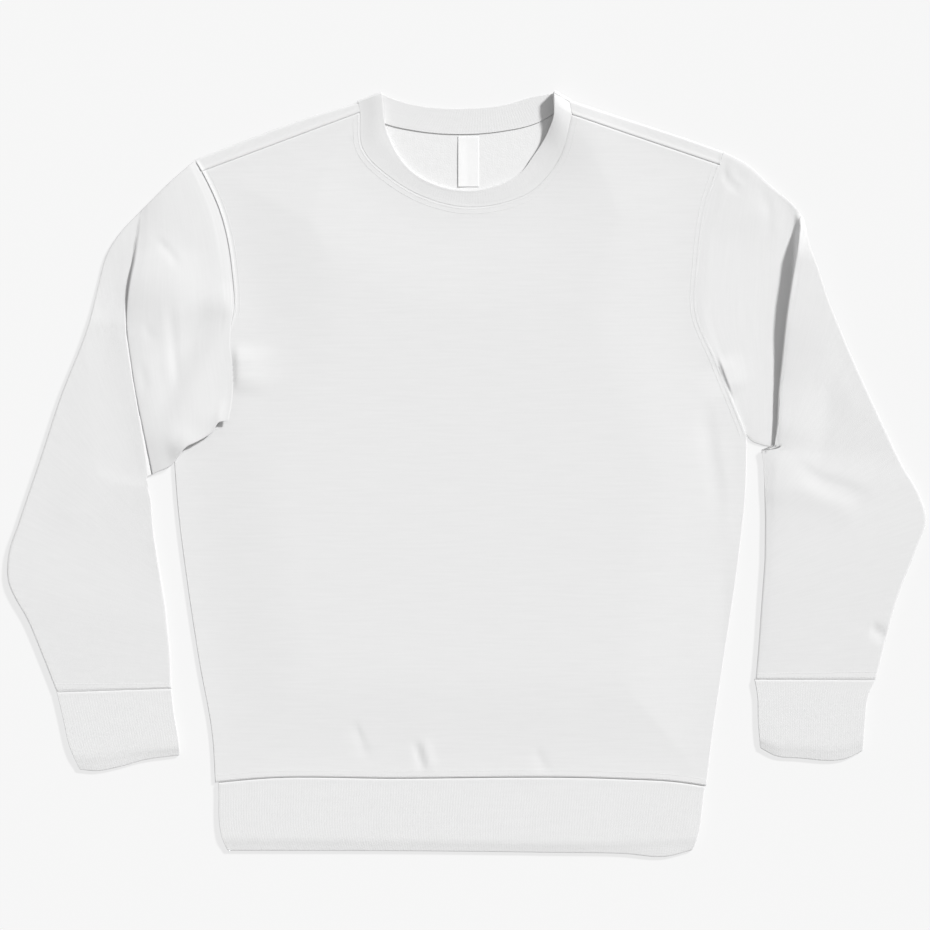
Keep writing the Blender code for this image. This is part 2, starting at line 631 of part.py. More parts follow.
def make_band(name, rows, edge_share, sparse):
    """A doubled rib band, pressed flat: ribbed on top, plain underneath and inside."""
    width = np.linalg.norm(np.subtract(rows[0][-1], rows[0][0]))
    dense, full = edge_columns(0.0, edge_share, rib_columns(width), EDGE_STEPS)
    rib = RIB_RELIEF * (np.arange(len(dense)) % 2) * (full == 1.0)
    under, under_full = edge_columns(0.0, edge_share, sparse, EDGE_STEPS)
    inner, inner_full = edge_columns(INNER_SLACK * RIB_CLOTH / width, edge_share / 2, sparse, 1)

    def skin(across, fullness, wall, rise, sign):
        plan = np.stack([smooth_curve(row, across) for row in rows])
        half = (BAND_HEIGHT / 2 - wall) * fullness
        height = BAND_HEIGHT / 2 + sign * half + rise
        return np.dstack([plan, np.broadcast_to(height, plan.shape[:2])])

    flat_tube(
        name,
        skin(dense, full, 0.0, rib, 1),
        skin(under, under_full, 0.0, 0.0, -1),
        skin(inner, inner_full, RIB_CLOTH, 0.0, 1),
        skin(inner, inner_full, RIB_CLOTH, 0.0, -1),
        (dense, under, inner),
        WHITE_RIB,
    )


def make_hem_band():
    """The hem band, whose seam edge follows the panels' hem line."""
    seam = smooth_curve(HEM_LINE, body_columns()) - [0, GAP / 2]
    seam[0, 0] += HEM_SEAM_INSET
    seam[-1, 0] -= HEM_SEAM_INSET / 2
    make_band("hem_band", [seam] + HEM_ROWS, HEM_EDGE, body_columns())


def crease_bend(crease, degrees):
    """Seam and free points of the neckband's middle at a crease: 90 degrees in front, -90 at the back."""
    angle = math.radians(degrees)
    line = np.array([crease.seam, crease.free], float)
    run = (line[1] - line[0]) / np.linalg.norm(line[1] - line[0])
    out = np.array([-run[1], run[0]]) * np.sign(run[0])
    radius = np.array([[crease.seam_radius], [crease.free_radius]])
    plan = line - out * (RIB_CLOTH / 2 + radius * (1 - math.cos(angle)))
    return np.hstack([plan, RIB_CLOTH / 2 + radius * (1 + math.sin(angle))])


def front_lift(place):
    """How far the wider creases lift the front free edge, at shares of the way from left to right."""
    left = 2 * (BAND_CREASE_LEFT.free_radius - BAND_CREASE_LEFT.seam_radius)
    right = 2 * (BAND_CREASE_RIGHT.free_radius - BAND_CREASE_RIGHT.seam_radius)
    near_left = 1 - smoothstep(place / BAND_LIFT_RUN)
    near_right = 1 - smoothstep((1 - place) / BAND_LIFT_RUN)
    return left * near_left + right * near_right


def band_run(seam, free, start, end, base, lift):
    """Stations along one layer of the neckband, from one crease's corner to the other's, two to a rib."""
    seam = np.concatenate([start[:1, :2], seam, end[:1, :2]])
    free = np.concatenate([start[1:, :2], free, end[1:, :2]])
    at = rib_columns(np.linalg.norm(np.diff(seam, axis=0), axis=1).sum())
    seam_line, free_line = along(seam, at), smooth_curve(free, at)
    toward = free_line - seam_line
    seam_line = seam_line + GAP * toward / np.linalg.norm(toward, axis=1, keepdims=True)
    low = np.column_stack([seam_line, np.full(len(at), base)])
    high = np.column_stack([free_line, base + lift(at)])
    return np.stack([low, high], axis=1)


def make_neckband():
    """The doubled neckband: a ribbed ring whose front layer is creased onto its back layer."""
    creases = (BAND_CREASE_LEFT, BAND_CREASE_RIGHT)
    front_left, front_right = (crease_bend(crease, 90) for crease in creases)
    back_left, back_right = (crease_bend(crease, -90) for crease in creases)
    back_seam = smooth_curve(NECK_BACK, shares(NECK_COLUMNS))[-2:0:-1]
    half = RIB_CLOTH / 2
    over = half + RIB_CLOTH + GAP
    front = band_run(neck_front(), BAND_FREE_FRONT, front_left, front_right, over, front_lift)
    right_turn = np.stack([crease_bend(BAND_CREASE_RIGHT, angle) for angle in BAND_TURNS])
    back = band_run(back_seam, BAND_FREE_BACK, back_right, back_left, half, np.zeros_like)
    left_turn = np.stack([crease_bend(BAND_CREASE_LEFT, angle) for angle in BAND_TURNS[::-1]])

    middle = np.concatenate([front, right_turn, back, left_turn])
    wrapped = np.concatenate([middle[-1:], middle, middle[:1]])
    normal = np.cross(wrapped[2:] - wrapped[:-2], np.gradient(middle, axis=1))
    normal /= np.linalg.norm(normal, axis=2, keepdims=True)
    normal *= np.sign(normal[len(front) // 2, 0, 2])
    station = np.arange(len(middle))[:, None]
    rib = RIB_RELIEF * (station % 2)
    in_front = station < len(front)
    first_back = len(front) + len(right_turn)
    in_back = (station >= first_back) & (station < first_back + len(back))
    outside = middle + normal * (half + rib * in_front)[..., None]
    inside = middle - normal * (half + rib * in_back)[..., None]
    reach = middle[:, 1] - middle[:, 0]
    reach *= BAND_ROUNDING / np.linalg.norm(reach, axis=1, keepdims=True)
    outside[:, 1] -= reach
    inside[:, 1] -= reach
    loop = np.concatenate([outside, middle[:, 1:], inside[:, ::-1]], axis=1)
    index = np.arange(loop[..., 0].size).reshape(loop.shape[:2])
    faces = grid_faces(np.concatenate([index, index[:1]]), closed=True)
    add_mesh("neckband", loop.reshape(-1, 3), faces, WHITE_RIB)


def make_label():
    """The bare woven label, which lies on the inside of the back."""
    width, length = LABEL_SIZE
    x = LABEL_CENTRE[0] + width * (shares(2) - 0.5)
    y = LABEL_CENTRE[1] + length * (shares(4) - 0.5)
    height = FLEECE + GAP + LABEL_THICKNESS / 2
    points = np.array([(px, py, height) for py in y for px in x])
    index = np.arange(len(points)).reshape(len(y), len(x))
    add_cloth("label", points, grid_faces(index), LABEL_THICKNESS, LABEL_WHITE)


def main():
    for obj in list(bpy.data.objects):
        bpy.data.objects.remove(obj, do_unlink=True)
    garment = bpy.data.collections.new("crewneck_sweatshirt")
    bpy.context.scene.collection.children.link(garment)
    make_back()
    make_front()
    make_sleeve("sleeve_left", SLEEVE_LEFT)
    make_sleeve("sleeve_right", SLEEVE_RIGHT)
    for name, rows in CUFF_ROWS.items():
        make_band(name, rows, CUFF_EDGE, shares(CUFF_COLUMNS))
    make_hem_band()
    make_neckband()
    make_label()


main()
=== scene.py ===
"""A crewneck sweatshirt laid flat on its back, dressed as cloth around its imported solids.

Pieces follow the cut: front and back panels, set-in sleeves folded down along the body, doubled rib cuffs,
hem band and neckband, a bare woven label, and the twin-needle stitching. Plan points and heights are in
millimetres, from the middle of the laid-out garment: +Y runs from hem to neck, and z = 0 is the surface
that it lies on. MM turns them into metres when a mesh is made.
"""

import math
from collections import namedtuple

import bmesh
import bpy
import numpy as np
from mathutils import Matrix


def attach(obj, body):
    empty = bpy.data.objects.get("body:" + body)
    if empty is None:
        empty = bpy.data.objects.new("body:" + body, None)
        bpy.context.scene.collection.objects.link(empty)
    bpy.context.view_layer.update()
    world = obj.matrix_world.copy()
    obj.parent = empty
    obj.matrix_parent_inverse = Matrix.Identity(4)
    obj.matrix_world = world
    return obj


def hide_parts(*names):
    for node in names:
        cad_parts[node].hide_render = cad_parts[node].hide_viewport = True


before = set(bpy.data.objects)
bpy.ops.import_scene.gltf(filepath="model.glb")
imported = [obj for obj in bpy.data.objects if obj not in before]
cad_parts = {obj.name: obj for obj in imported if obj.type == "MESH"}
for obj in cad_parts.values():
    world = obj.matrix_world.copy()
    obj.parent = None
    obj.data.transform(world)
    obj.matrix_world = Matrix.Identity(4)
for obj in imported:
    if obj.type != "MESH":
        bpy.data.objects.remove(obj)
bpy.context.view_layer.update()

bl_info = {
    "name": "Crewneck sweatshirt laid flat",
    "version": (1, 0, 0),
    "blender": (4, 5, 0),
    "location": "3D View > Sidebar > Sweatshirt",
    "description": "Builds a laid-out crewneck sweatshirt from its pattern pieces",
    "category": "Add Mesh",
}

MM = 0.001

# Cloth, in millimetres
FLEECE = 1.8
RIB_CLOTH = 2.6
GAP = 0.3  # between two layers that lie on each other
BODY_HEIGHT = 2 * FLEECE + GAP
BODY_MIDDLE = BODY_HEIGHT / 2
BAND_HEIGHT = 2 * RIB_CLOTH + GAP
SHELL = 1.2  # the back panel's thickness where it comes forward over a shoulder
LEAST_SHELL = 0.1  # the least thickness of a panel, at its edges

# Body pattern, in plan points
HEM_LINE = [(-239, -292.5), (-200, -289), (-68, -288.5), (145, -289), (200, -292), (227.5, -296)]
SIDE_LEFT = [(-239, -292.5), (-241.5, -251), (-254.5, -176), (-266, -100), (-274, -37), (-279.5, 36)]
SIDE_RIGHT = [(227.5, -296), (233, -251), (245.5, -166), (257.5, -85), (265, -13), (266, 36)]
ARMHOLE_LEFT = [(-279.5, 36), (-243, 104), (-222, 150), (-223, 195), (-235, 252), (-248, 281), (-258, 299)]
ARMHOLE_RIGHT = [(266, 36), (237, 108), (218.5, 155), (220, 200), (229, 261), (240, 293), (243.5, 306.5)]
CREASE_LEFT = [(-258, 299), (-199.5, 321.5), (-149, 339.5), (-103.5, 353)]
CREASE_RIGHT = [(98, 355), (145.5, 339.5), (211, 318), (243.5, 306.5)]
NECK_POINT_LEFT, NECK_POINT_RIGHT = (-101.5, 344), (100, 341.5)
NECK_FRONT = [
    NECK_POINT_LEFT, (-99, 310), (-70, 280), (-39.5, 263), (-2, 254),
    (31.5, 257), (60, 268), (87, 298), NECK_POINT_RIGHT,
]
NECK_BACK = [
    (-103.5, 350), (-92, 340), (-77.5, 333), (-50, 326.5),
    (-13, 323), (31, 325.5), (65, 333), (98, 352),
]
STRIP_SHARE = 0.045  # share of the armhole between the shoulder crease and the forward shoulder seam
SHOULDER_SHARE = 0.3  # share of a panel's width over one shoulder
LEVEL_SHARE = 0.6  # share of the armhole at which a shoulder's block of the front starts
NECK_SIDE_SHARE = 0.17  # the steep sides of the front neck, as a share of its seam

# How finely cloth is drawn: distances from a seam that get a row of their own, and the spacing elsewhere
SEAM_ROWS = (0.0, 0.4, 0.9, 1.5, 2.3, 3.3, 4.6, 6.2, 8.2)
EDGE_POINTS = 90
CURVE_STEPS = 24  # straight steps in each span of a smooth curve

# Relief beside a seam: a groove at the seam, and a soft ridge over the seam allowance
Seam = namedtuple("Seam", "groove width ridge ridge_at ridge_width")
SEAM_GAP = 0.05
NECK_SEAM = Seam(0.08, 0.6, 0.05, 3.4, 2.6)
ARMHOLE_SEAM = Seam(0.0, 0.6, 0.8, 0.6, 1.3)
SLEEVE_SEAM = Seam(0.1, 0.5, 0.0, 3.0, 2.4)
SHOULDER_SEAM = Seam(0.6, 0.8, 0.10, 3.0, 2.2)
STRIP_SEAM = Seam(0.0, 0.5, 0.35, 1.6, 1.4)
HEM_SEAM = Seam(0.45, 0.7, 0.15, 3.6, 2.8)
CUFF_SEAM = Seam(0.4, 0.7, 0.15, 3.4, 2.6)
BAND_SEAM = Seam(0.4, 0.7, 0.08, 2.4, 1.8)
FRONT_SEAMS = {
    "hem": HEM_SEAM,
    "neck": NECK_SEAM,
    "shoulder_left": SHOULDER_SEAM,
    "shoulder_right": SHOULDER_SEAM,
}

# Soft creases: a smooth line through plan points, how high it stands (or how deep, below 0), and how wide
# it is on the left and on the right of its direction
Crease = namedtuple("Crease", "points height left right")
CREASE_POINTS = 12
CREASE_END = 0.35  # share of a crease's length over which it fades at each end


def smoothstep(value):
    share = np.clip(value, 0.0, 1.0)
    return share * share * (3.0 - 2.0 * share)


def shares(count):
    return np.linspace(0.0, 1.0, count + 1)


def unit(vectors):
    return vectors / np.linalg.norm(vectors, axis=-1, keepdims=True)


def looked_up(value, table):
    """Values between the rows of a table of pairs."""
    return np.interp(value, *np.array(table).T)


def lengths_along(knots):
    """Each knot's distance along its own curve."""
    steps = np.linalg.norm(np.diff(knots, axis=0), axis=-1)
    return np.concatenate([0 * steps[:1], np.cumsum(steps, axis=0)])


def along(polyline, fractions):
    """Points at the given shares of a polyline's length."""
    polyline = np.asarray(polyline, float)
    length = lengths_along(polyline)
    wanted = np.asarray(fractions, float) * length[-1]
    return np.stack([np.interp(wanted, length, column) for column in polyline.T], axis=-1)


def slopes_at(chord, step):
    """A smooth curve's slopes at its knots, from the chords between them."""
    inside = (chord[:-1] * step[1:] + chord[1:] * step[:-1]) / (step[:-1] + step[1:])
    return np.concatenate([chord[:1], inside, chord[-1:]])


def level_slopes_at(chord, step):
    """Slopes that keep a curve between its knots: zero at each high or low point."""
    before, after = chord[:-1], chord[1:]
    first, last = step[:-1] + 2 * step[1:], 2 * step[:-1] + step[1:]
    same = before * after > 0
    before, after = np.where(same, before, 1.0), np.where(same, after, 1.0)
    inside = np.where(same, (first + last) / (first / before + last / after), 0.0)
    return np.concatenate([chord[:1], inside, chord[-1:]])


def through(knots, at, span, s, slopes=slopes_at):
    """Points a share s of the way through the given spans of smooth curves through knots.

    at gives each knot's place along its own curve, so that long spans beside short ones don't swing out.
    """
    step = np.diff(at, axis=0)[..., None]
    slope = slopes(np.diff(knots, axis=0) / step, step)
    s = s.reshape((-1,) + (1,) * (knots.ndim - 1))
    return (
        (2 * s**3 - 3 * s**2 + 1) * knots[span]
        + (s**3 - 2 * s**2 + s) * step[span] * slope[span]
        + (3 * s**2 - 2 * s**3) * knots[span + 1]
        + (s**3 - s**2) * step[span] * slope[span + 1]
    )


def spans_at(at, places):
    """The span between knots in which each place lies, and the share of the way through it."""
    span = np.clip(np.searchsorted(at, places, side="right") - 1, 0, len(at) - 2)
    return span, (places - at[span]) / (at[span + 1] - at[span])


def smooth_curve(points, fractions):
    """Points at the given shares of the length of a smooth curve through the named points."""
    knots = np.asarray(points, float)
    at = lengths_along(knots)
    places = np.linspace(0.0, at[-1], CURVE_STEPS * (len(knots) - 1) + 1)
    return along(through(knots, at, *spans_at(at, places)), fractions)


def graded(length, spacing, start=True, end=True):
    """Shares along a length, closer together beside the seams at its ends."""
    near = np.array(SEAM_ROWS) / length
    low, high = near[-1] * start, 1 - near[-1] * end
    count = max(2, round((high - low) * length / spacing))
    rows = np.linspace(low, high, count + 1)
    if start:
        rows = np.concatenate([near[:-1], rows])
    if end:
        rows = np.concatenate([rows, 1 - near[-2::-1]])
    return rows


def normals_of(line, side):
    """Unit plan normals along a line, turned to the given side of its direction."""
    run = unit(np.gradient(line, axis=0))
    return side * np.stack([-run[:, 1], run[:, 0]], axis=-1)


def nearest_on(plan, line):
    """For each plan point: its distance from a line, its side of it (1 is left) and the share along it."""
    points = plan.reshape(-1, 2)
    runs = np.diff(line, axis=0)
    lengths = np.linalg.norm(runs, axis=1)
    before = lengths_along(line)
    best = np.full(len(points), np.inf)
    side, share = np.ones(len(points)), np.zeros(len(points))
    for start, run, length, done in zip(line, runs, lengths, before):
        away = points - start
        t = np.clip(away @ run / length**2, 0, 1)
        gap = away - t[:, None] * run
        distance = np.hypot(gap[:, 0], gap[:, 1])
        closer = distance < best
        best = np.where(closer, distance, best)
        side = np.where(closer, np.sign(run[0] * away[:, 1] - run[1] * away[:, 0]), side)
        share = np.where(closer, (done + t * length) / before[-1], share)
    shape = plan.shape[:-1]
    return best.reshape(shape), side.reshape(shape), share.reshape(shape)


def distance_to(plan, line):
    return nearest_on(plan, line)[0]


def crease_relief(plan, creases, strength):
    """How far soft creases lift or sink the cloth at plan points."""
    relief = np.zeros(plan.shape[:-1])
    for crease in creases:
        line = smooth_curve(crease.points, shares(CREASE_POINTS))
        distance, side, share = nearest_on(plan, line)
        width = np.where(side > 0, crease.left, crease.right)
        ends = smoothstep(share / CREASE_END) * smoothstep((1 - share) / CREASE_END)
        relief += strength * crease.height * ends * np.exp(-((distance / width) ** 2))
    return relief


def seam_relief(distance, seam):
    """How a seam lifts and sinks the cloth at distances from it."""
    ridge = seam.ridge * np.exp(-(((distance - seam.ridge_at) / seam.ridge_width) ** 2))
    return ridge - seam.groove * np.exp(-((distance / seam.width) ** 2))


def rolled(distance, radius):
    """A rounded edge's height as a share of the full one."""
    return np.sqrt(1 - (1 - np.clip(distance / radius, 0, 1)) ** 2)


def grid_faces(index, closed=False):
    """Quads over a grid of point numbers; closed joins the last column to the first."""
    if closed:
        index = np.concatenate([index, index[:, :1]], axis=1)
    quads = np.stack([index[:-1, :-1], index[:-1, 1:], index[1:, 1:], index[1:, :-1]], axis=-1)
    return quads.reshape(-1, 4)


def numbered(grid, first=0):
    return np.arange(grid.shape[0] * grid.shape[1]).reshape(grid.shape[:2]) + first


def rim_quads(faces, count):
    """Quads that join the open border of the outer faces to the same border of the inner ones."""
    edges = np.concatenate([np.stack([faces[:, k], faces[:, (k + 1) % 4]], axis=1) for k in range(4)])
    key = edges[:, 0] * count + edges[:, 1]
    reverse = edges[:, 1] * count + edges[:, 0]
    border = edges[~np.isin(key, reverse)]
    return np.stack([border[:, 1], border[:, 0], border[:, 0] + count, border[:, 1] + count], axis=1)


def set_inputs(node, values):
    for title, value in values.items():
        node.inputs[title].default_value = value


def add_object(name, data):
    made = bpy.data.objects.new(name, data)
    bpy.context.scene.collection.objects.link(made)
    return made


def new_piece(name, points, faces, uv, finishes, slots=None):
    """A smooth-shaded mesh object from points and cloth coordinates in millimetres."""
    mesh = bpy.data.meshes.new(name)
    mesh.from_pydata((points.reshape(-1, 3) * MM).tolist(), [], faces.tolist())
    for look in finishes:
        mesh.materials.append(finish(look))
    if slots is not None:
        mesh.polygons.foreach_set("material_index", slots)
    loops = np.empty(len(mesh.loops), np.int32)
    mesh.loops.foreach_get("vertex_index", loops)
    layer = mesh.uv_layers.new(name="cloth")
    layer.data.foreach_set("uv", (uv.reshape(-1, 2) * MM).astype(np.float32)[loops].ravel())
    cage = bmesh.new()
    cage.from_mesh(mesh)
    bmesh.ops.recalc_face_normals(cage, faces=cage.faces)
    cage.to_mesh(mesh)
    cage.free()
    mesh.shade_smooth()
    piece = add_object(name, mesh)
    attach(piece, "root")
    return piece


def shell_piece(name, outer, inner, faces, uv, finishes):
    """A closed thin shell from matching outer and inner points. Its inner face takes the last finish."""
    count = len(outer)
    every = np.concatenate([faces, faces[:, ::-1] + count, rim_quads(faces, count)])
    slots = np.zeros(len(every), np.int32)
    slots[len(faces) : 2 * len(faces)] = len(finishes) - 1
    return new_piece(name, np.concatenate([outer, inner]), every, np.concatenate([uv, uv]), finishes, slots)


# ---------------------------------------------------------------- finishes

WALE, COURSE = 0.0011, 0.0009  # one stitch across and along, in metres
SLANT, LEG_SHARE = 1.3, 0.7  # how far a stitch's legs slant, and how much of its relief they make
# Noise: how fine it is across and along, to the metre, and its detail
YARN_NOISE = (26.0, 420.0, 3.0)
FIBRE_NOISE = (900.0, 650.0, 4.0)
TUFT_NOISE = (190.0, 150.0, 2.0)
TUFT_SHARE = 0.6


def value_of(tree, operation, first, second=None):
    """A Math node's result, from sockets or numbers."""
    node = tree.nodes.new("ShaderNodeMath")
    node.operation = operation
    for socket, given in zip(node.inputs, (first, second)):
        if isinstance(given, bpy.types.NodeSocket):
            tree.links.new(given, socket)
        elif given is not None:
            socket.default_value = given
    return node.outputs[0]


def noise_of(tree, vector, scale_x, scale_y, detail):
    """A noise value over cloth coordinates, with a scale of its own across and along, in metres."""
    stretch = tree.nodes.new("ShaderNodeVectorMath")
    stretch.operation = "MULTIPLY"
    stretch.inputs[1].default_value = (scale_x, scale_y, 1.0)
    tree.links.new(vector, stretch.inputs[0])
    noise = tree.nodes.new("ShaderNodeTexNoise")
    set_inputs(noise, {"Scale": 1.0, "Detail": detail})
    tree.links.new(stretch.outputs[0], noise.inputs["Vector"])
    return noise.outputs["Fac"]


def new_group(name, sizes):
    """A shader node group that turns a Vector and named sizes into a Height and a Tone, and its two ends."""
    group = bpy.data.node_groups.new(name, "ShaderNodeTree")
    group.interface.new_socket("Vector", in_out="INPUT", socket_type="NodeSocketVector")
    for title, default in sizes.items():
        socket = group.interface.new_socket(title, in_out="INPUT", socket_type="NodeSocketFloat")
        socket.default_value = default
    for title in ("Height", "Tone"):
        group.interface.new_socket(title, in_out="OUTPUT", socket_type="NodeSocketFloat")
    return group, group.nodes.new("NodeGroupInput"), group.nodes.new("NodeGroupOutput")


def knit_group(name):
    """Jersey's V-shaped stitches in wales and courses, with yarn that is uneven along the courses."""
    group, ends, out = new_group(name, {"Wale": WALE, "Course": COURSE})
    axes = group.nodes.new("ShaderNodeSeparateXYZ")
    group.links.new(ends.outputs["Vector"], axes.inputs[0])
    wale = value_of(group, "DIVIDE", axes.outputs[0], ends.outputs["Wale"])
    course = value_of(group, "DIVIDE", axes.outputs[1], ends.outputs["Course"])
    from_middle = value_of(group, "ABSOLUTE", value_of(group, "SUBTRACT", value_of(group, "FRACT", wale), 0.5))
    slant = value_of(group, "ADD", course, value_of(group, "MULTIPLY", from_middle, SLANT))
    loop = value_of(group, "SINE", value_of(group, "MULTIPLY", value_of(group, "FRACT", slant), math.pi))
    leg = value_of(group, "SINE", value_of(group, "MULTIPLY", from_middle, math.tau))
    legs = value_of(group, "ADD", value_of(group, "MULTIPLY", leg, LEG_SHARE), 1 - LEG_SHARE)
    group.links.new(value_of(group, "MULTIPLY", loop, legs), out.inputs["Height"])
    group.links.new(noise_of(group, ends.outputs["Vector"], *YARN_NOISE), out.inputs["Tone"])
    return group


def brushed_group(name):
    """Short fibres brushed up on fleece's inside."""
    group, ends, out = new_group(name, {})
    fine = noise_of(group, ends.outputs["Vector"], *FIBRE_NOISE)
    tufts = noise_of(group, ends.outputs["Vector"], *TUFT_NOISE)
    raised = value_of(group, "MULTIPLY", tufts, TUFT_SHARE)
    group.links.new(value_of(group, "ADD", fine, raised), out.inputs["Height"])
    group.links.new(tufts, out.inputs["Tone"])
    return group


# Each finish: the user's colour, how much it varies, its roughness and effect, the effect's relief, and the
# sizes of its stitches where they differ from the effect's own, in metres
Finish = namedtuple("Finish", "colour shade roughness effect relief sizes")
EFFECTS = {"jersey_knit": knit_group, "brushed_fibres": brushed_group}
FINISHES = {
    "jersey_face": Finish("fleece", 0.03, 0.95, "jersey_knit", 0.00007, {}),
    "rib_face": Finish("rib", 0.02, 0.95, "jersey_knit", 0.0001, {"Wale": 0.0012, "Course": 0.001}),
    "brushed_inside": Finish("inside", 0.03, 1.0, "brushed_fibres", 0.00025, {}),
    "woven_label": Finish("label", 0.01, 0.6, "jersey_knit", 0.00004, {"Wale": 0.0005, "Course": 0.00035}),
    "sewing_thread": Finish("thread", 0.01, 0.7, "jersey_knit", 0.00005, {"Wale": 0.0006, "Course": 0.0007}),
}
SHEEN = 0.2  # how much matte cloth mirrors, as the shader counts it


def finish(name):
    """A matte cloth, made when a piece first asks for it. Its effect varies its colour and feeds its bump."""
    if name in bpy.data.materials:
        return bpy.data.materials[name]
    look = FINISHES[name]
    colour = getattr(bpy.context.scene.sweatshirt_colours, look.colour)
    made = bpy.data.materials.new(name)
    made.use_nodes = True
    tree = made.node_tree
    shader = tree.nodes["Principled BSDF"]
    set_inputs(shader, {"Roughness": look.roughness, "Specular IOR Level": SHEEN})
    where = tree.nodes.new("ShaderNodeUVMap")
    where.uv_map = "cloth"
    effect = tree.nodes.new("ShaderNodeGroup")
    effect.node_tree = bpy.data.node_groups.get(look.effect) or EFFECTS[look.effect](look.effect)
    tree.links.new(where.outputs[0], effect.inputs["Vector"])
    set_inputs(effect, look.sizes)
    mix = tree.nodes.new("ShaderNodeMix")
    mix.data_type = "RGBA"
    for title, share in (("A", 1 - look.shade), ("B", 1 + look.shade)):
        mix.inputs[title].default_value = [min(1.0, channel * share) for channel in colour] + [1.0]
    tree.links.new(effect.outputs["Tone"], mix.inputs["Factor"])
    tree.links.new(mix.outputs["Result"], shader.inputs["Base Color"])
    bump = tree.nodes.new("ShaderNodeBump")
    bump.inputs["Distance"].default_value = look.relief
    tree.links.new(effect.outputs["Height"], bump.inputs["Height"])
    tree.links.new(bump.outputs["Normal"], shader.inputs["Normal"])
    return made


# ---------------------------------------------------------------- body

PUFF, PUFF_STARTS, PUFF_RUN = 2.4, 8.0, 95.0  # the front stands off the back away from its seams
NECK_PUFF, NECK_PUFF_REACH = 6.0, 42.0  # the unpressed shoulder beside the right neck point
SIDE_ROLL = 0.5  # how far in a panel's side is rounded
SHOULDER_ROLL = BODY_HEIGHT / 2
SHOULDER_STEPS = 10  # how many steps round the shoulder's bend
INSIDE_HEIGHT = 1.6  # how high the back's inside lies
# Lengths that are shared out among a panel's rows and columns
SHOULDER_WIDTH, NECK_WIDTH = 150.0, 190.0
FRONT_LENGTH, BACK_LENGTH, SHOULDER_LENGTH = 560.0, 640.0, 90.0
BACK_SPACING = 1.25  # the hidden back's rows are this much further apart
HEM_FADE = 20.0  # the back's creases fade out this far from the hem
PANEL_FINISHES = ("jersey_face", "brushed_inside")
STRIP_ROWS = (0.15, 0.4, 0.6, 0.72, 0.8, 0.86, 0.91, 0.95, 0.98, 1.0)  # shares from crease to forward seam

LAP_RIDGE = Crease([(-229, 15), (-224, 60), (-221.5, 98), (-224.5, 130), (-225, 200)], 0.8, 24, 24)
FRONT_CREASES = [
    LAP_RIDGE,
    Crease([(235, 113), (237, 108), (241, 97), (248, 79), (251, 72)], -0.9, 2, 14),
    Crease([(224, 80), (230, 40), (240, -10), (244, -60)], -0.8, 7, 10),
    Crease([(234, 50), (242, 0), (248, -70)], 0.5, 6, 8),
    Crease([(246, -60), (244, -130), (238, -215)], -0.4, 8, 12),
    Crease([(-49, -250), (-44, -266), (-39, -284)], -1.1, 1.8, 4.5),
    Crease([(-42, -246), (-37, -264), (-32, -286)], 0.6, 4, 7),
    Crease([(-109, -230), (-100, -252), (-91, -274)], -0.5, 3, 7),
    Crease([(64, -256), (71, -270), (79, -286)], -0.5, 3, 6),
    Crease([(-219.5, 126), (-218.5, 106), (-218, 90), (-219, 74)], 2.4, 26, 2.6),
]
BACK_CREASES = [
    Crease([(-210, 120), (-150, 60), (-120, -40)], 0.8, 14, 22),
    Crease([(205, 130), (160, 70), (150, -30)], 0.8, 16, 24),
    Crease([(-60, -210), (-52, -250), (-46, -286)], 0.7, 6, 10),
    Crease([(90, -230), (98, -260), (100, -286)], 0.6, 6, 9),
    Crease([(-40, 250), (10, 230), (70, 236)], 0.6, 16, 24),
]
# How deep an armhole's groove is, by height up the body
PINCH_RIGHT = [(36, 0.08), (140, 0.08), (290, 0.12), (306, 0.5)]
PINCH_LEFT = [(36, 0.3), (140, 0.3), (165, 0.4), (200, 0.8), (245, 1.0), (300, 1.0)]


def body_edges():
    """The panels' seams, as fine plan lines."""
    rise = shares(EDGE_POINTS) * (1 - STRIP_SHARE)
    left, right = smooth_curve(ARMHOLE_LEFT, rise), smooth_curve(ARMHOLE_RIGHT, rise)
    return {
        "hem": smooth_curve(HEM_LINE, shares(EDGE_POINTS)),
        "side_left": smooth_curve(SIDE_LEFT, shares(EDGE_POINTS)),
        "side_right": smooth_curve(SIDE_RIGHT, shares(EDGE_POINTS)),
        "armhole_left": left,
        "armhole_right": right,
        "shoulder_left": np.stack([left[-1], NECK_POINT_LEFT]),
        "shoulder_right": np.stack([right[-1], NECK_POINT_RIGHT]),
        "neck": smooth_curve(NECK_FRONT, shares(EDGE_POINTS)),
    }


def panel_height(inward):
    """How high the front's plain cloth stands, at distances in from its edge."""
    return BODY_HEIGHT + PUFF * smoothstep((inward - PUFF_STARTS) / PUFF_RUN)


def neck_puff(plan):
    """How far the unpressed shoulder stands up beside the right neck point."""
    away = np.linalg.norm(plan - np.array(NECK_POINT_RIGHT), axis=-1)
    return NECK_PUFF * np.exp(-((away / NECK_PUFF_REACH) ** 2))


def front_surface(plan, edges, strength):
    """Heights of the front panel's outer face, and of its inner face."""
    near = {name: distance_to(plan, line) for name, line in edges.items()}
    inward = np.minimum.reduce(list(near.values()))
    plain = panel_height(inward) + neck_puff(plan)
    roll = rolled(np.minimum(near["side_left"], near["side_right"]), SIDE_ROLL)
    top = plain + crease_relief(plan, FRONT_CREASES, strength)
    for name, seam in FRONT_SEAMS.items():
        top = top + seam_relief(near[name], seam)
    for name, pinch in (("armhole_left", PINCH_LEFT), ("armhole_right", PINCH_RIGHT)):
        top = top + looked_up(plan[..., 1], pinch) * seam_relief(near[name], ARMHOLE_SEAM)
    edge = BODY_MIDDLE + LEAST_SHELL
    top = edge + (top - edge) * roll
    under = BODY_MIDDLE + (plain - FLEECE - BODY_MIDDLE) * roll
    return top, np.minimum(under, top - LEAST_SHELL)


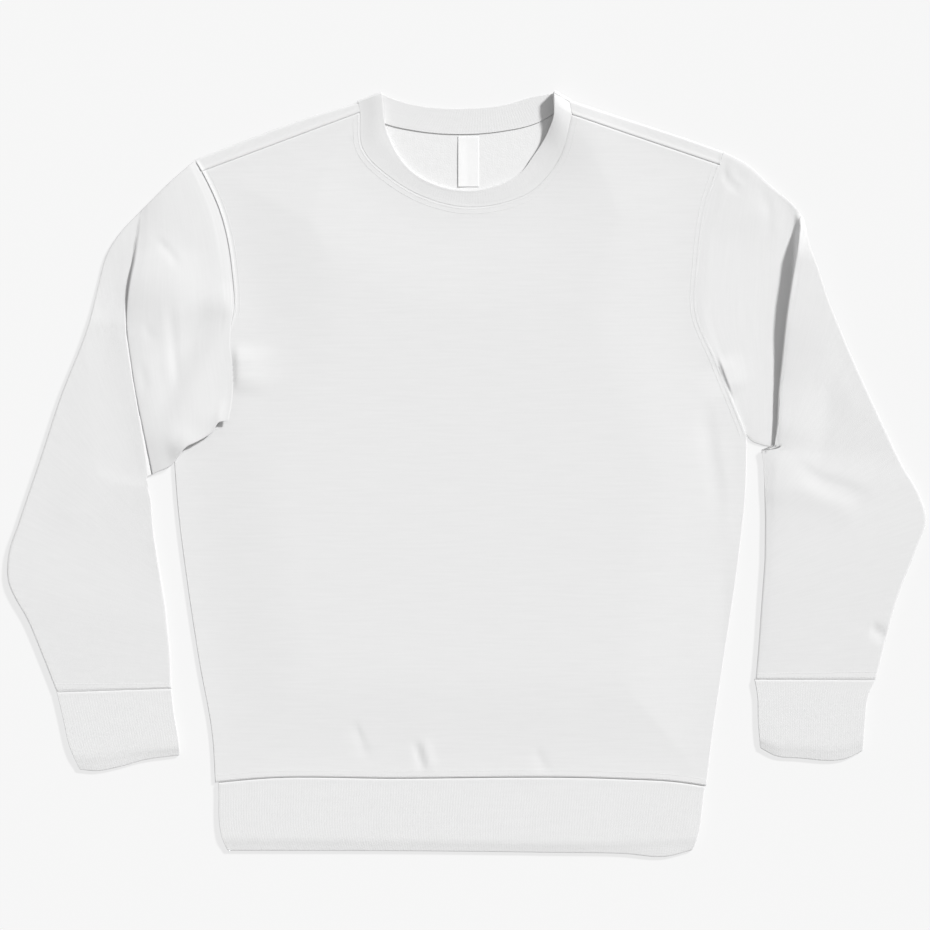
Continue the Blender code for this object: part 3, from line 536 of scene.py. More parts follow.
def coons(bottom, top, left, right, u, w):
    """Plan points inside four edges that are given at the shares u and w."""
    u, w = u[None, :, None], w[:, None, None]
    low_corners = (1 - w) * ((1 - u) * bottom[0] + u * bottom[-1])
    high_corners = w * ((1 - u) * top[0] + u * top[-1])
    rows = (1 - w) * bottom + w * top
    columns = (1 - u) * left[:, None] + u * right[:, None]
    return rows + columns - low_corners - high_corners


def body_columns(spacing):
    """Shares across a panel, closer together at its sides and below its neck points."""
    shoulder = graded(SHOULDER_WIDTH, spacing) * SHOULDER_SHARE
    middle = SHOULDER_SHARE + shares(round(NECK_WIDTH / spacing)) * (1 - 2 * SHOULDER_SHARE)
    return np.concatenate([shoulder, middle[1:-1], 1 - shoulder[::-1]]), len(shoulder)


def panel_side(side, hole, top_share, w):
    """A panel's edge from hem to the given share of the armhole, at the shares w."""
    seam = smooth_curve(side, shares(EDGE_POINTS))
    arm = smooth_curve(hole, shares(EDGE_POINTS) * top_share)
    return along(np.concatenate([seam, arm[1:]]), w)


def front_grids(spacing):
    """Plan grids of the front: below the neck, and over each shoulder beside it."""
    u, count = body_columns(spacing)
    w = graded(FRONT_LENGTH, spacing)
    left = panel_side(SIDE_LEFT, ARMHOLE_LEFT, LEVEL_SHARE, w)
    right = panel_side(SIDE_RIGHT, ARMHOLE_RIGHT, LEVEL_SHARE, w)
    ends = smooth_curve(NECK_FRONT, [NECK_SIDE_SHARE, 1 - NECK_SIDE_SHARE])
    t = (u[:count] / SHOULDER_SHARE)[:, None]
    below_left = left[-1] + t * (ends[0] - left[-1])
    below_right = ends[1] + (1 - t[::-1]) * (right[-1] - ends[1])
    scoop = (u[count:-count] - SHOULDER_SHARE) / (1 - 2 * SHOULDER_SHARE)
    scoop = smooth_curve(NECK_FRONT, NECK_SIDE_SHARE + scoop * (1 - 2 * NECK_SIDE_SHARE))
    top = np.concatenate([below_left, scoop, below_right])
    grids = [coons(smooth_curve(HEM_LINE, u), top, left, right, u, w)]

    v = graded(SHOULDER_LENGTH, spacing, start=False)
    arm = LEVEL_SHARE + v * (1 - STRIP_SHARE - LEVEL_SHARE)
    edges = body_edges()
    seam_left = along(edges["shoulder_left"], t[:, 0])
    seam_right = along(edges["shoulder_right"], t[:, 0])[::-1]
    neck_left = smooth_curve(NECK_FRONT, NECK_SIDE_SHARE * (1 - v))
    neck_right = smooth_curve(NECK_FRONT, 1 - NECK_SIDE_SHARE * (1 - v))
    arm_left, arm_right = smooth_curve(ARMHOLE_LEFT, arm), smooth_curve(ARMHOLE_RIGHT, arm)
    grids.append(coons(below_left, seam_left, arm_left, neck_left, t[:, 0], v)[1:])
    grids.append(coons(below_right, seam_right, neck_right, arm_right, 1 - t[::-1, 0], v)[1:])
    return grids, count


def make_front():
    sizes = bpy.context.scene.sweatshirt_sizes
    grids, count = front_grids(sizes.spacing / MM)
    main = numbered(grids[0])
    left = numbered(grids[1], main.size)
    right = numbered(grids[2], main.size + left.size)
    faces = np.concatenate([
        grid_faces(main),
        grid_faces(np.concatenate([main[-1:, :count], left])),
        grid_faces(np.concatenate([main[-1:, -count:], right])),
    ])
    plan = np.concatenate([grid.reshape(-1, 2) for grid in grids])
    top, under = front_surface(plan, body_edges(), sizes.creases)
    outer, inner = np.column_stack([plan, top]), np.column_stack([plan, under])
    piece = shell_piece("front_panel", outer, inner, faces, plan, PANEL_FINISHES)
    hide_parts("front")


def shoulder_start(crease, places):
    """Where the back starts to bend forward over a shoulder's crease, and the way up from it in plan."""
    normal = unit(along(normals_of(smooth_curve(crease, shares(EDGE_POINTS)), 1), places))
    return smooth_curve(crease, places) - normal * SHOULDER_ROLL, normal


def shoulder_strip(start, normal, seam, hole, pinch):
    """Outer, inner and cloth rows of the back, round a shoulder's crease and on to the forward seam."""
    hole = smooth_curve(hole, shares(EDGE_POINTS))
    rows_out, rows_in, rows_uv = [], [], []
    for angle in np.radians(np.linspace(0, 180, SHOULDER_STEPS + 1))[1:]:
        puff = neck_puff(start) * (1 - math.cos(angle)) / 2
        for rows, radius in ((rows_out, SHOULDER_ROLL), (rows_in, SHOULDER_ROLL - SHELL)):
            reach = start + normal * radius * math.sin(angle)
            rows.append(np.column_stack([reach, BODY_MIDDLE - radius * math.cos(angle) + puff]))
        rows_uv.append(start + normal * SHOULDER_ROLL * angle)
    forward = seam + normal * SEAM_GAP
    length = np.linalg.norm(forward - start, axis=1)
    for share in STRIP_ROWS:
        place = start + share * (forward - start)
        height = BODY_HEIGHT + neck_puff(place) + seam_relief(length * (1 - share), STRIP_SEAM)
        height = height + pinch[-1][1] * seam_relief(distance_to(place, hole), ARMHOLE_SEAM)
        rows_out.append(np.column_stack([place, height]))
        rows_in.append(np.column_stack([place, height - SHELL]))
        rows_uv.append(start + normal * (SHOULDER_ROLL * math.pi + share * length[:, None]))
    return [np.stack(rows) for rows in (rows_out, rows_in, rows_uv)]


def make_back():
    sizes = bpy.context.scene.sweatshirt_sizes
    spacing = sizes.spacing / MM * BACK_SPACING
    u, count = body_columns(spacing)
    w = graded(BACK_LENGTH, spacing)
    t = u[:count] / SHOULDER_SHARE
    start_left, normal_left = shoulder_start(CREASE_LEFT, t)
    start_right, normal_right = shoulder_start(CREASE_RIGHT, 1 - t[::-1])
    neck = (u[count:-count] - SHOULDER_SHARE) / (1 - 2 * SHOULDER_SHARE)
    neck = smooth_curve(NECK_BACK, neck) - [0, SEAM_GAP]
    top = np.concatenate([start_left, neck, start_right])
    left = panel_side(SIDE_LEFT, ARMHOLE_LEFT, 1.0, w)
    right = panel_side(SIDE_RIGHT, ARMHOLE_RIGHT, 1.0, w)
    left[-1], right[-1] = top[0], top[-1]
    plan = coons(smooth_curve(HEM_LINE, u), top, left, right, u, w)

    edges = body_edges()
    sides = np.minimum(distance_to(plan, edges["side_left"]), distance_to(plan, edges["side_right"]))
    roll = rolled(sides, SIDE_ROLL)
    fade = smoothstep(distance_to(plan, edges["hem"]) / HEM_FADE)
    under = crease_relief(plan, BACK_CREASES, sizes.creases) * fade
    edge = BODY_MIDDLE - LEAST_SHELL
    under = edge - (edge - under) * roll
    inside = BODY_MIDDLE - (BODY_MIDDLE - INSIDE_HEIGHT) * roll
    inside = np.maximum(inside, under + LEAST_SHELL)
    main = numbered(plan)
    grids = [[np.dstack([plan, under]), np.dstack([plan, inside]), plan]]
    faces, done = [grid_faces(main)], main.size
    seam_left = along(edges["shoulder_left"], t)
    seam_right = along(edges["shoulder_right"], t)[::-1]
    for columns, strip in (
        (main[-1:, :count], shoulder_strip(start_left, normal_left, seam_left, ARMHOLE_LEFT, PINCH_LEFT)),
        (main[-1:, -count:], shoulder_strip(start_right, normal_right, seam_right, ARMHOLE_RIGHT, PINCH_RIGHT)),
    ):
        index = numbered(strip[0], done)
        done += index.size
        faces.append(grid_faces(np.concatenate([columns, index])))
        grids.append(strip)
    outer, inner, uv = (
        np.concatenate([grid.reshape(-1, grid.shape[-1]) for grid in kind]) for kind in zip(*grids)
    )
    piece = shell_piece("back_panel", outer, inner, np.concatenate(faces), uv, PANEL_FINISHES)
    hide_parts("back")


# ---------------------------------------------------------------- sleeves

# Rows of a sleeve: where its outer and inner edges lie, "across" being measured out from the middle line on
# either side, and how thick the flattened tube is there
Row = namedtuple("Row", "outer inner height")
# The pleat where the forearm folds down, from its apex at the outer edge (share 0) to the inner edge (1):
# the radius of each bend, their turn, how deep the tuck runs, how far the crisp bend's middle stands
# behind its edge, how thick the pressed tube is, how far the cloth takes to come down beside it, and how much
# the lower part swells just past the upper one's edge
Pleat = namedtuple("Pleat", "share first second turn depth lead height fall swell")
PLEAT_RIGHT = [
    Pleat(0.000, 20.0, 12.0, 12, 0.6, 1.6, 3.6, 40, 0),
    Pleat(0.050, 8.0, 2.6, 54, 4.6, 1.4, 2.7, 80, 0),
    Pleat(0.100, 4.8, 1.3, 70, 9.8, 1.3, 2.1, 100, 0),
    Pleat(0.147, 3.8, 1.0, 80, 12.0, 1.3, 1.8, 105, 0),
    Pleat(0.225, 3.4, 0.9, 90, 10.6, 1.4, 1.8, 100, 0),
    Pleat(0.340, 2.8, 0.9, 106, 9.9, 1.6, 1.8, 88, 0),
    Pleat(0.460, 2.4, 0.9, 120, 9.0, 1.8, 1.7, 72, 0),
    Pleat(0.600, 1.8, 0.9, 140, 6.8, 1.8, 1.7, 52, 0),
    Pleat(0.720, 1.3, 0.9, 158, 6.0, 1.8, 1.6, 45, 0),
    Pleat(0.800, 1.3, 0.9, 165, 6.0, 1.8, 1.6, 45, 0),
    Pleat(0.900, 1.3, 0.9, 168, 6.5, 1.7, 1.6, 42, 0),
    Pleat(1.000, 0.9, 0.8, 180, 8.0, 1.6, 1.4, 40, 0),
]
PLEAT_LEFT = [
    Pleat(0.00, 16.0, 16.0, 4, 0.3, 3.0, 4.0, 20, 0.0),
    Pleat(0.08, 6.0, 6.0, 20, 0.4, 3.2, 3.4, 30, 0.0),
    Pleat(0.15, 3.0, 3.0, 45, 0.6, 3.0, 2.8, 50, 0.0),
    Pleat(0.20, 1.9, 1.9, 85, 0.6, 2.9, 2.2, 70, 0.0),
    Pleat(0.30, 1.2, 1.2, 140, 1.0, 2.4, 1.8, 85, 0.6),
    Pleat(0.36, 0.9, 0.9, 172, 1.4, 1.9, 1.6, 85, 1.3),
    Pleat(0.42, 0.7, 0.7, 180, 1.6, 1.45, 1.4, 80, 2.7),
    Pleat(1.00, 0.7, 0.7, 180, 1.6, 1.35, 1.3, 70, 2.8),
]
PRESS_CLIMB, UPPER_CLIMB = 0.03, 0.08  # how fast a tube thickens away from the pleat that presses it
RISE_BLEND = 12.0  # how far from a bend the rows take up the heights of what they lie on
RISE_SMOOTHING, SMOOTHING_RAMP = 8, 4.0  # how often those heights are evened out, and how soon past a bend
REACH_SHARE = 0.5  # how much of the tuck the upper side lies level over
END_FALL = 60.0  # how far past the pleat's end its rise takes to come down
END_CLIMB = 3.0  # how much faster the tube thickens past the pleat's end
APEX_BLEND, EDGE_BLEND = 0.2, 0.4  # where the pleat turns to follow the sleeve's outer and inner edges
BEND_STEPS = 8
EDGE_STEPS = 6
EDGE_HOLD = 5  # how closely an edge's own shape stays beside it
EDGE_ROLL = 0.4  # how far in a pressed edge is rounded
LEAVING = (0.1, 0.3, 0.6)  # rows close behind the pleat, as shares of the way to the next one
SWELL_START, SWELL_RUN = 0.05, 0.4  # where the lower part swells past the upper one's edge
SWELL_ROWS, SWELL_MOST = ((0.0, 0.3), (0.5, 0.5), (1.2, 0.75), (2.4, 1.0)), 0.6
SLEEVE_COLUMNS = 70
SLEEVE_WIDTH = 150.0  # the usual width, for the share that its rounded edges take up
ROW_LEAST = 0.12  # rows closer than this are left out
CREASE_CLEAR = 6.0  # soft creases fade out before the pleat
ASIDE_RUN, ASIDE_REACH = 3.0, 14.0  # how soon below the fold, and how far in, the inner edge is moved
INNER_FALL = [(-200, 276), (-150, 284), (-110, 288), (-60, 291), (26, 293)]  # where the forearm's top falls from
INNER_FALL_SLOPE = 0.05
LAP_CLEAR, LAP_FALL = 2.0, 36.0  # how far past the front's side it stays up, and takes to come down
LAP_TOP, LAP_RAMP = 150.0, 34.0  # above here the sleeve meets the front edge to edge, and doesn't lap onto it
LAP_END = [(-226, 50), (-222.5, 72), (-221.5, 98), (-224.5, 122), (-224, 140)]  # the lapped part's edge
LAP_ROLL, LAP_TAPER = 0.6, 50.0  # how far in that edge is rounded, and how far it takes to thicken
LAP_EDGE, LAP_HEIGHT = 0.3, 2.4  # how thick the lapped part is at its end, and further in

# side: 1 right, -1 left; upper, turn, forearm: rows above, beside and below the pleat, whose edge is the fold
# lap: how far it stands off the front panel where it laps onto it, or 0
# over: the upper sleeve lies over the forearm at the pleat, and not under it
# aside: where the forearm's inner edge truly lies, past the fold's end
# under: soft creases of the underside; lifts: where the upper sleeve's whole edge stands off what it lies on
Sleeve = namedtuple(
    "Sleeve", "side armhole upper fold turn forearm lap pleat over inner_roll aside creases under lifts"
)
SLEEVE_RIGHT = Sleeve(
    side=1,
    armhole=ARMHOLE_RIGHT,
    upper=[Row((265.5, 295), (270.5, 31.5), 4.6), Row((289, 274), (278, 28.5), 4.4)],
    fold=[(319, 244), (310, 195), (302.8, 150), (298.6, 109), (295.2, 74), (294.4, 50), (291.6, 26)],
    turn=[
        Row((324, 221), (288.8, 13.3), 4.4),
        Row((333.5, 194), (285.6, 0.5), 4.8),
        Row((342, 168), (282.5, -12), 5.0),
    ],
    forearm=[
        Row((356, 134), (279.3, -25), 5.2),
        Row((391.5, 55), (280, -48), 5.6),
        Row((413.5, 9), (279.5, -66), 5.8),
        Row((430, -20), (278.5, -82), 5.8),
        Row((436.3, -42), (277.5, -96), 5.8),
        Row((428, -67), (277, -110), 5.8),
        Row((410.5, -112), (275, -138), 5.6),
        Row((388, -194.7), (273, -194.2), 5.4),
    ],
    lap=0.0,
    pleat=PLEAT_RIGHT,
    over=False,
    inner_roll=0.4,
    aside=[
        (-196, 274), (-175, 276), (-157, 277.4), (-119, 280), (-81, 282.8),
        (-43, 283.2), (-5, 282.4), (15, 281.4), (30, 280.2),
    ],
    creases={
        "upper": [
            Crease([(239, 114), (240.5, 109), (244.5, 98), (251.5, 80), (255, 73)], 1.8, 16, 1.6),
            Crease([(243, 291), (247, 281), (262, 268)], -1.0, 1.5, 2.6),
            Crease([(254, 289), (262, 281), (270, 276)], -0.5, 2.0, 3.0),
            Crease([(276, 276), (284, 262), (288, 240), (286, 222)], -0.6, 4, 8),
        ],
        "forearm": [
            Crease([(306, 16), (330, -2), (358, -12), (388, -22)], -0.9, 6, 12),
            Crease([(310, -6), (340, -24), (380, -36)], 0.6, 8, 14),
            Crease([(382, -142), (392, -150), (402, -158)], -1.2, 3.5, 6),
            Crease([(330, 150), (352, 90), (380, 40)], 0.5, 12, 16),
        ],
    },
    under=[Crease([(330, 40), (350, -30), (352, -110)], 0.8, 12, 16)],
    lifts=[],
)
SLEEVE_LEFT = Sleeve(
    side=-1,
    armhole=ARMHOLE_LEFT,
    upper=[
        Row((265.5, 292.3), (234.5, 49.8), 5.0),
        Row((273, 285.7), (241, 40.5), 5.2),
        Row((280.4, 279.2), (255.5, 31.0), 5.4),
        Row((287.7, 272.3), (266.5, 25.5), 5.4),
        Row((295, 265), (273.5, 17.0), 5.2),
        Row((302.3, 257.8), (281, 8.0), 5.0),
    ],
    fold=[(309.5, 250.5), (315.6, 208), (321.8, 174), (323.4, 150), (318, 100), (298.5, -0.5)],
    turn=[
        Row((325.5, 234), (303.5, -3), 4.4),
        Row((341.5, 210), (304, -9), 4.8),
        Row((350, 180), (302, -16), 5.0),
    ],
    forearm=[
        Row((358, 147), (300.5, -22.5), 5.2),
        Row((386.7, 71), (297.5, -52), 5.6),
        Row((404.3, 17), (293.5, -78), 5.8),
        Row((424.5, -43), (288.5, -108), 5.8),
        Row((435.3, -77), (285, -130), 5.8),
        Row((436.3, -96), (284, -142), 5.8),
        Row((415.2, -142), (281.5, -167), 5.6),
        Row((389.3, -206.3), (280.3, -202.8), 5.4),
    ],
    lap=0.15,
    pleat=PLEAT_LEFT,
    over=True,
    inner_roll=0.8,
    aside=[],
    creases={
        "upper": [
            Crease([(-299, 227), (-286, 216), (-269, 194)], -0.7, 2.2, 4),
            Crease([(-283, 172), (-279, 130), (-273, 74)], -0.6, 3.5, 6),
            Crease([(-289, 176), (-285, 130), (-280, 70)], 0.4, 5, 6),
            Crease([(-305, 146), (-301, 134), (-298, 124)], -0.5, 3, 5),
            Crease([(-310, 108), (-306, 90), (-304, 74)], -0.5, 2.5, 4),
        ],
        "forearm": [
            Crease([(-330, 214), (-340, 150), (-350, 90)], -0.5, 10, 14),
            Crease([(-340, 20), (-370, -30), (-390, -60)], 0.5, 14, 18),
        ],
    },
    under=[Crease([(-340, 30), (-360, -40), (-350, -120)], 0.8, 12, 16)],
    lifts=[
        Crease([(-187, 72), (-224, 52), (-261, 36)], 5.5, 8, 14),
        Crease([(-240, 34), (-263, 28), (-284, 16)], 4.5, 8, 14),
    ],
)


def pleat_at(pleat, share):
    """The pleat's sizes at shares of the way in from its apex."""
    knots, *columns = np.array(pleat, float).T
    sizes = Pleat(share, *(np.interp(share, knots, column) for column in columns))
    return sizes._replace(turn=np.radians(sizes.turn))


def pleat_height(sizes):
    """How much higher the pleat's upper side lies than its lower one."""
    return (sizes.first + sizes.second) * (1 - np.cos(sizes.turn)) + sizes.depth * np.sin(sizes.turn)


def lapped(y):
    """How fully the sleeve laps onto the front panel: 1 at the underarm, 0 further up the armhole."""
    return 1 - smoothstep((y - LAP_TOP) / LAP_RAMP)


def lap_rise(sleeve, plan):
    """How far the sleeve's underarm is lifted by the front panel that it laps onto."""
    x, y = plan[..., 0], plan[..., 1]
    if not sleeve.lap:
        return np.zeros_like(x)
    low = np.array(SIDE_LEFT[-2:] + ARMHOLE_LEFT[1:3], float)
    inside = np.interp(y, low[:, 1], -low[:, 0]) - x
    panel = panel_height(inside) + crease_relief(plan * [-1, 1], [LAP_RIDGE], 1.0)
    beside = 1 - smoothstep((-inside - LAP_CLEAR) / LAP_FALL)
    return (panel + sleeve.lap) * beside * lapped(y)


def fold_frame(sleeve):
    """The crisp fold: its apex, its direction, the direction of travel across it, and its length."""
    fold = np.asarray(sleeve.fold, float)
    run = fold[-1] - fold[0]
    length = np.linalg.norm(run)
    run /= length
    return fold[0], run, np.array([-run[1], run[0]]), length


def pleat_rise(sleeve, plan):
    """How far the cloth on the pleat's upper side is lifted by the tucked layers that it lies on."""
    apex, run, travel, length = fold_frame(sleeve)
    share = (plan - apex) @ run / length
    inside = np.clip(share, 0, 1)
    past = (plan - smooth_curve(sleeve.fold, inside)) @ travel * (-1 if sleeve.over else 1)
    sizes = pleat_at(sleeve.pleat, inside)
    reach = REACH_SHARE * (sizes.lead + sizes.depth * np.maximum(-np.cos(sizes.turn), 0))
    fallen = np.clip((past - reach) / sizes.fall, 0, 1)
    over = 1 - (smoothstep(fallen) if sleeve.over else fallen)
    end = 1 - smoothstep((share - 1) * length / END_FALL)
    return pleat_height(sizes) * over * end


def upper_rise(sleeve, plan):
    """How high the upper sleeve lies, on the body's edge and on a pleat that is tucked under it."""
    lap = lap_rise(sleeve, plan)
    return np.cbrt(lap**3 + pleat_rise(sleeve, plan) ** 3) if sleeve.over else lap


def forearm_rise(sleeve, plan):
    return np.zeros(plan.shape[:-1]) if sleeve.over else pleat_rise(sleeve, plan)


def between(start, end, rows, across):
    """Plan rows from one row to the next, whose ends keep to the sleeve's outer and inner edges."""
    near_outer = (1 - across)[:, None] ** EDGE_HOLD
    near_inner = across[:, None] ** EDGE_HOLD
    made = []
    for number, row in enumerate(rows, 1):
        share = number / (len(rows) + 1)
        plan = start * (1 - share) + end * share
        plan = plan + near_outer * (row.outer - plan[0]) + near_inner * (row.inner - plan[-1])
        made.append(plan)
    return made


def sleeve_rows(sleeve, across):
    """Main rows of a flattened sleeve, armhole to cuff, and the pleat's heading at each column.

    Each row gives a plan point, lift, tube height and turn at every column. A turn of 180 degrees is
    where the sleeve runs back over itself in the pleat.
    """
    travel = fold_frame(sleeve)[2]
    fold = smooth_curve(sleeve.fold, across)
    sizes = pleat_at(sleeve.pleat, across)
    turn, depth, pressed = sizes.turn, sizes.depth, sizes.height
    outline = unit(np.subtract(sleeve.turn[0].outer, sleeve.upper[-1].outer))
    blend = smoothstep(across / APEX_BLEND)[:, None]
    heading = (1 - blend) * outline + blend * travel
    if sleeve.over:
        edge = unit(np.subtract(sleeve.fold[-1], sleeve.upper[-2].inner))
        blend = smoothstep((across - 1 + EDGE_BLEND) / EDGE_BLEND)[:, None]
        heading = (1 - blend) * heading + blend * edge
    heading = unit(heading)
    reach = (sizes.first + sizes.second) * np.sin(turn) + depth * np.cos(turn)
    start = -sizes.lead if sleeve.over else sizes.lead - reach
    low_end = fold + heading * start[:, None]
    high_start = fold + heading * (start + reach)[:, None]
    rows = []

    def add(plan, height, rise, angle=0.0):
        rest = [np.broadcast_to(value, len(plan)) for value in (height, angle)]
        rows.append(np.column_stack([plan, rise, *rest]))

    hole = sleeve.armhole
    if sleeve.lap:
        hole = np.concatenate([LAP_END, smooth_curve(hole, shares(10))[len(LAP_END) :]])
    hole = smooth_curve(hole, 1 - across) * [sleeve.side, 1] + [SEAM_GAP, 0]
    add(hole, BODY_HEIGHT, upper_rise(sleeve, hole))
    for plan, row in zip(between(hole, low_end, sleeve.upper, across), sleeve.upper):
        add(plan, row.height, upper_rise(sleeve, plan))
    first_bend = len(rows)
    sense = -1 if sleeve.over else 1
    begin = upper_rise(sleeve, low_end)
    finish_at = forearm_rise(sleeve, high_start)
    for share in shares(BEND_STEPS):
        angle = turn * share
        plan = fold + heading * (start + sizes.first * np.sin(angle))[:, None]
        add(plan, pressed, begin + sense * sizes.first * (1 - np.cos(angle)), angle)
    for share in shares(BEND_STEPS)[::-1]:
        angle = turn * share
        plan = fold + heading * (start + reach - sizes.second * np.sin(angle))[:, None]
        add(plan, pressed, finish_at - sense * sizes.second * (1 - np.cos(angle)), angle)
    last_bend = len(rows) - 1
    straight = [row.outer + across[:, None] * np.subtract(row.inner, row.outer) for row in sleeve.forearm]
    turns = between(high_start, straight[0], sleeve.turn, across)
    gap = np.linalg.norm(turns[0] - high_start, axis=1)
    leaving = [share + 0 * gap for share in LEAVING]
    if sleeve.over:
        leaving = [np.minimum((past - start - reach) / gap, SWELL_MOST * share) for past, share in SWELL_ROWS]
    for share in leaving:
        plan = high_start + share[:, None] * (turns[0] - high_start)
        add(plan, pressed + share * (sleeve.turn[0].height - pressed), forearm_rise(sleeve, plan))
    for plan, row in zip(turns, sleeve.turn):
        add(plan, row.height, forearm_rise(sleeve, plan))
    for plan, row in zip(straight, sleeve.forearm):
        add(plan, row.height, forearm_rise(sleeve, plan))
    return np.stack(rows), heading, first_bend, last_bend


def finer_rows(knots, spacing):
    """Smooth rows between the main ones, closer together at both ends, with each row's place."""
    own = lengths_along(knots[..., :3])
    at = own.mean(axis=1)
    places = [
        np.linspace(low, high, max(1, math.ceil((high - low) / spacing)), endpoint=False)
        for low, high in zip(at, at[1:])
    ]
    near = np.array(SEAM_ROWS)
    places = np.unique(np.round(np.concatenate([near, *places, at[-1] - near]), 3))
    places = places[np.concatenate([[True], np.diff(places) > ROW_LEAST])]
    places[-1] = at[-1]
    spans = spans_at(at, places)
    plan = through(knots[..., :2], own, *spans)
    rest = through(knots[..., 2:], own, *spans, level_slopes_at)
    return np.concatenate([plan, rest], axis=2), places, at


def tube_columns(width, left_roll, right_roll, count):
    """Shares across a flattened tube, closer together in its two rounded edges, and how full it is there."""
    turn = np.radians(np.linspace(0, 90, EDGE_STEPS + 1))
    start = left_roll / width * (1 - np.cos(turn))
    end = 1 - right_roll / width * (1 - np.cos(turn[::-1]))
    middle = np.linspace(start[-1], end[0], count + 1)[1:-1]
    full = np.concatenate([np.sin(turn), np.ones(len(middle)), np.sin(turn[::-1])])
    return np.concatenate([start, middle, end]), full


def step_aside(sleeve, plan):
    """Forearm points moved in to the true inner edge, past the end of the pleat's crisp fold."""
    if not sleeve.aside:
        return plan
    corner = sleeve.fold[-1]
    edge = plan[:, -1]
    y = plan[..., 1]
    target = looked_up(edge[:, 1], sleeve.aside)
    wanted = np.interp(y, edge[::-1, 1], (edge[:, 0] - target)[::-1], left=0.0, right=0.0)
    inner = np.interp(y, edge[::-1, 1], edge[::-1, 0])
    below = smoothstep((corner[1] - y) / ASIDE_RUN)
    near = np.exp(-((np.maximum(plan[..., 0] - inner, 0) / ASIDE_REACH) ** 2))
    moved = plan.copy()
    moved[..., 0] -= wanted * below * near
    return moved


def inner_fall(sleeve, plan):
    """How far the forearm's top falls towards its inner edge, past the end of the pleat."""
    if not sleeve.aside:
        return np.zeros(plan.shape[:-1])
    x, y = plan[..., 0], plan[..., 1]
    past = np.maximum(looked_up(y, INNER_FALL) - x, 0)
    return INNER_FALL_SLOPE * past * smoothstep((sleeve.fold[-1][1] - y) / ASIDE_REACH)


def past_fold(sleeve, plan):
    """The pleat's sizes beside plan points, how far they lie past its crisp edge, and past its end."""
    apex, run, travel, length = fold_frame(sleeve)
    share = (plan - apex) @ run / length
    inside = np.clip(share, 0, 1)
    past = (plan - smooth_curve(sleeve.fold, inside)) @ travel
    return pleat_at(sleeve.pleat, inside), past, np.maximum(share - 1, 0) * length


def pressed_height(sleeve, plan, height):
    """Tube heights near the pleat: thin beneath its edge, and thicker further away."""
    sizes, past, ended = past_fold(sleeve, plan)
    climb = np.where(past > 0, PRESS_CLIMB, UPPER_CLIMB) if sleeve.side < 0 else PRESS_CLIMB
    away = np.abs(past) + ended * END_CLIMB
    return np.minimum(height, sizes.height + climb * away)


def swell_at(sleeve, plan):
    """How much the lower part stands up again, just past the upper part's edge."""
    sizes, past, _ = past_fold(sleeve, plan)
    return sizes.swell * smoothstep((past - SWELL_START) / SWELL_RUN)


def smoothed(values, weight):
    """Rows of values, evened out along the sleeve where the weight says so."""
    values = values.copy()
    for _ in range(RISE_SMOOTHING):
        values[1:-1] += weight[1:-1] * (0.25 * values[:-2] + 0.25 * values[2:] - 0.5 * values[1:-1])
    return values


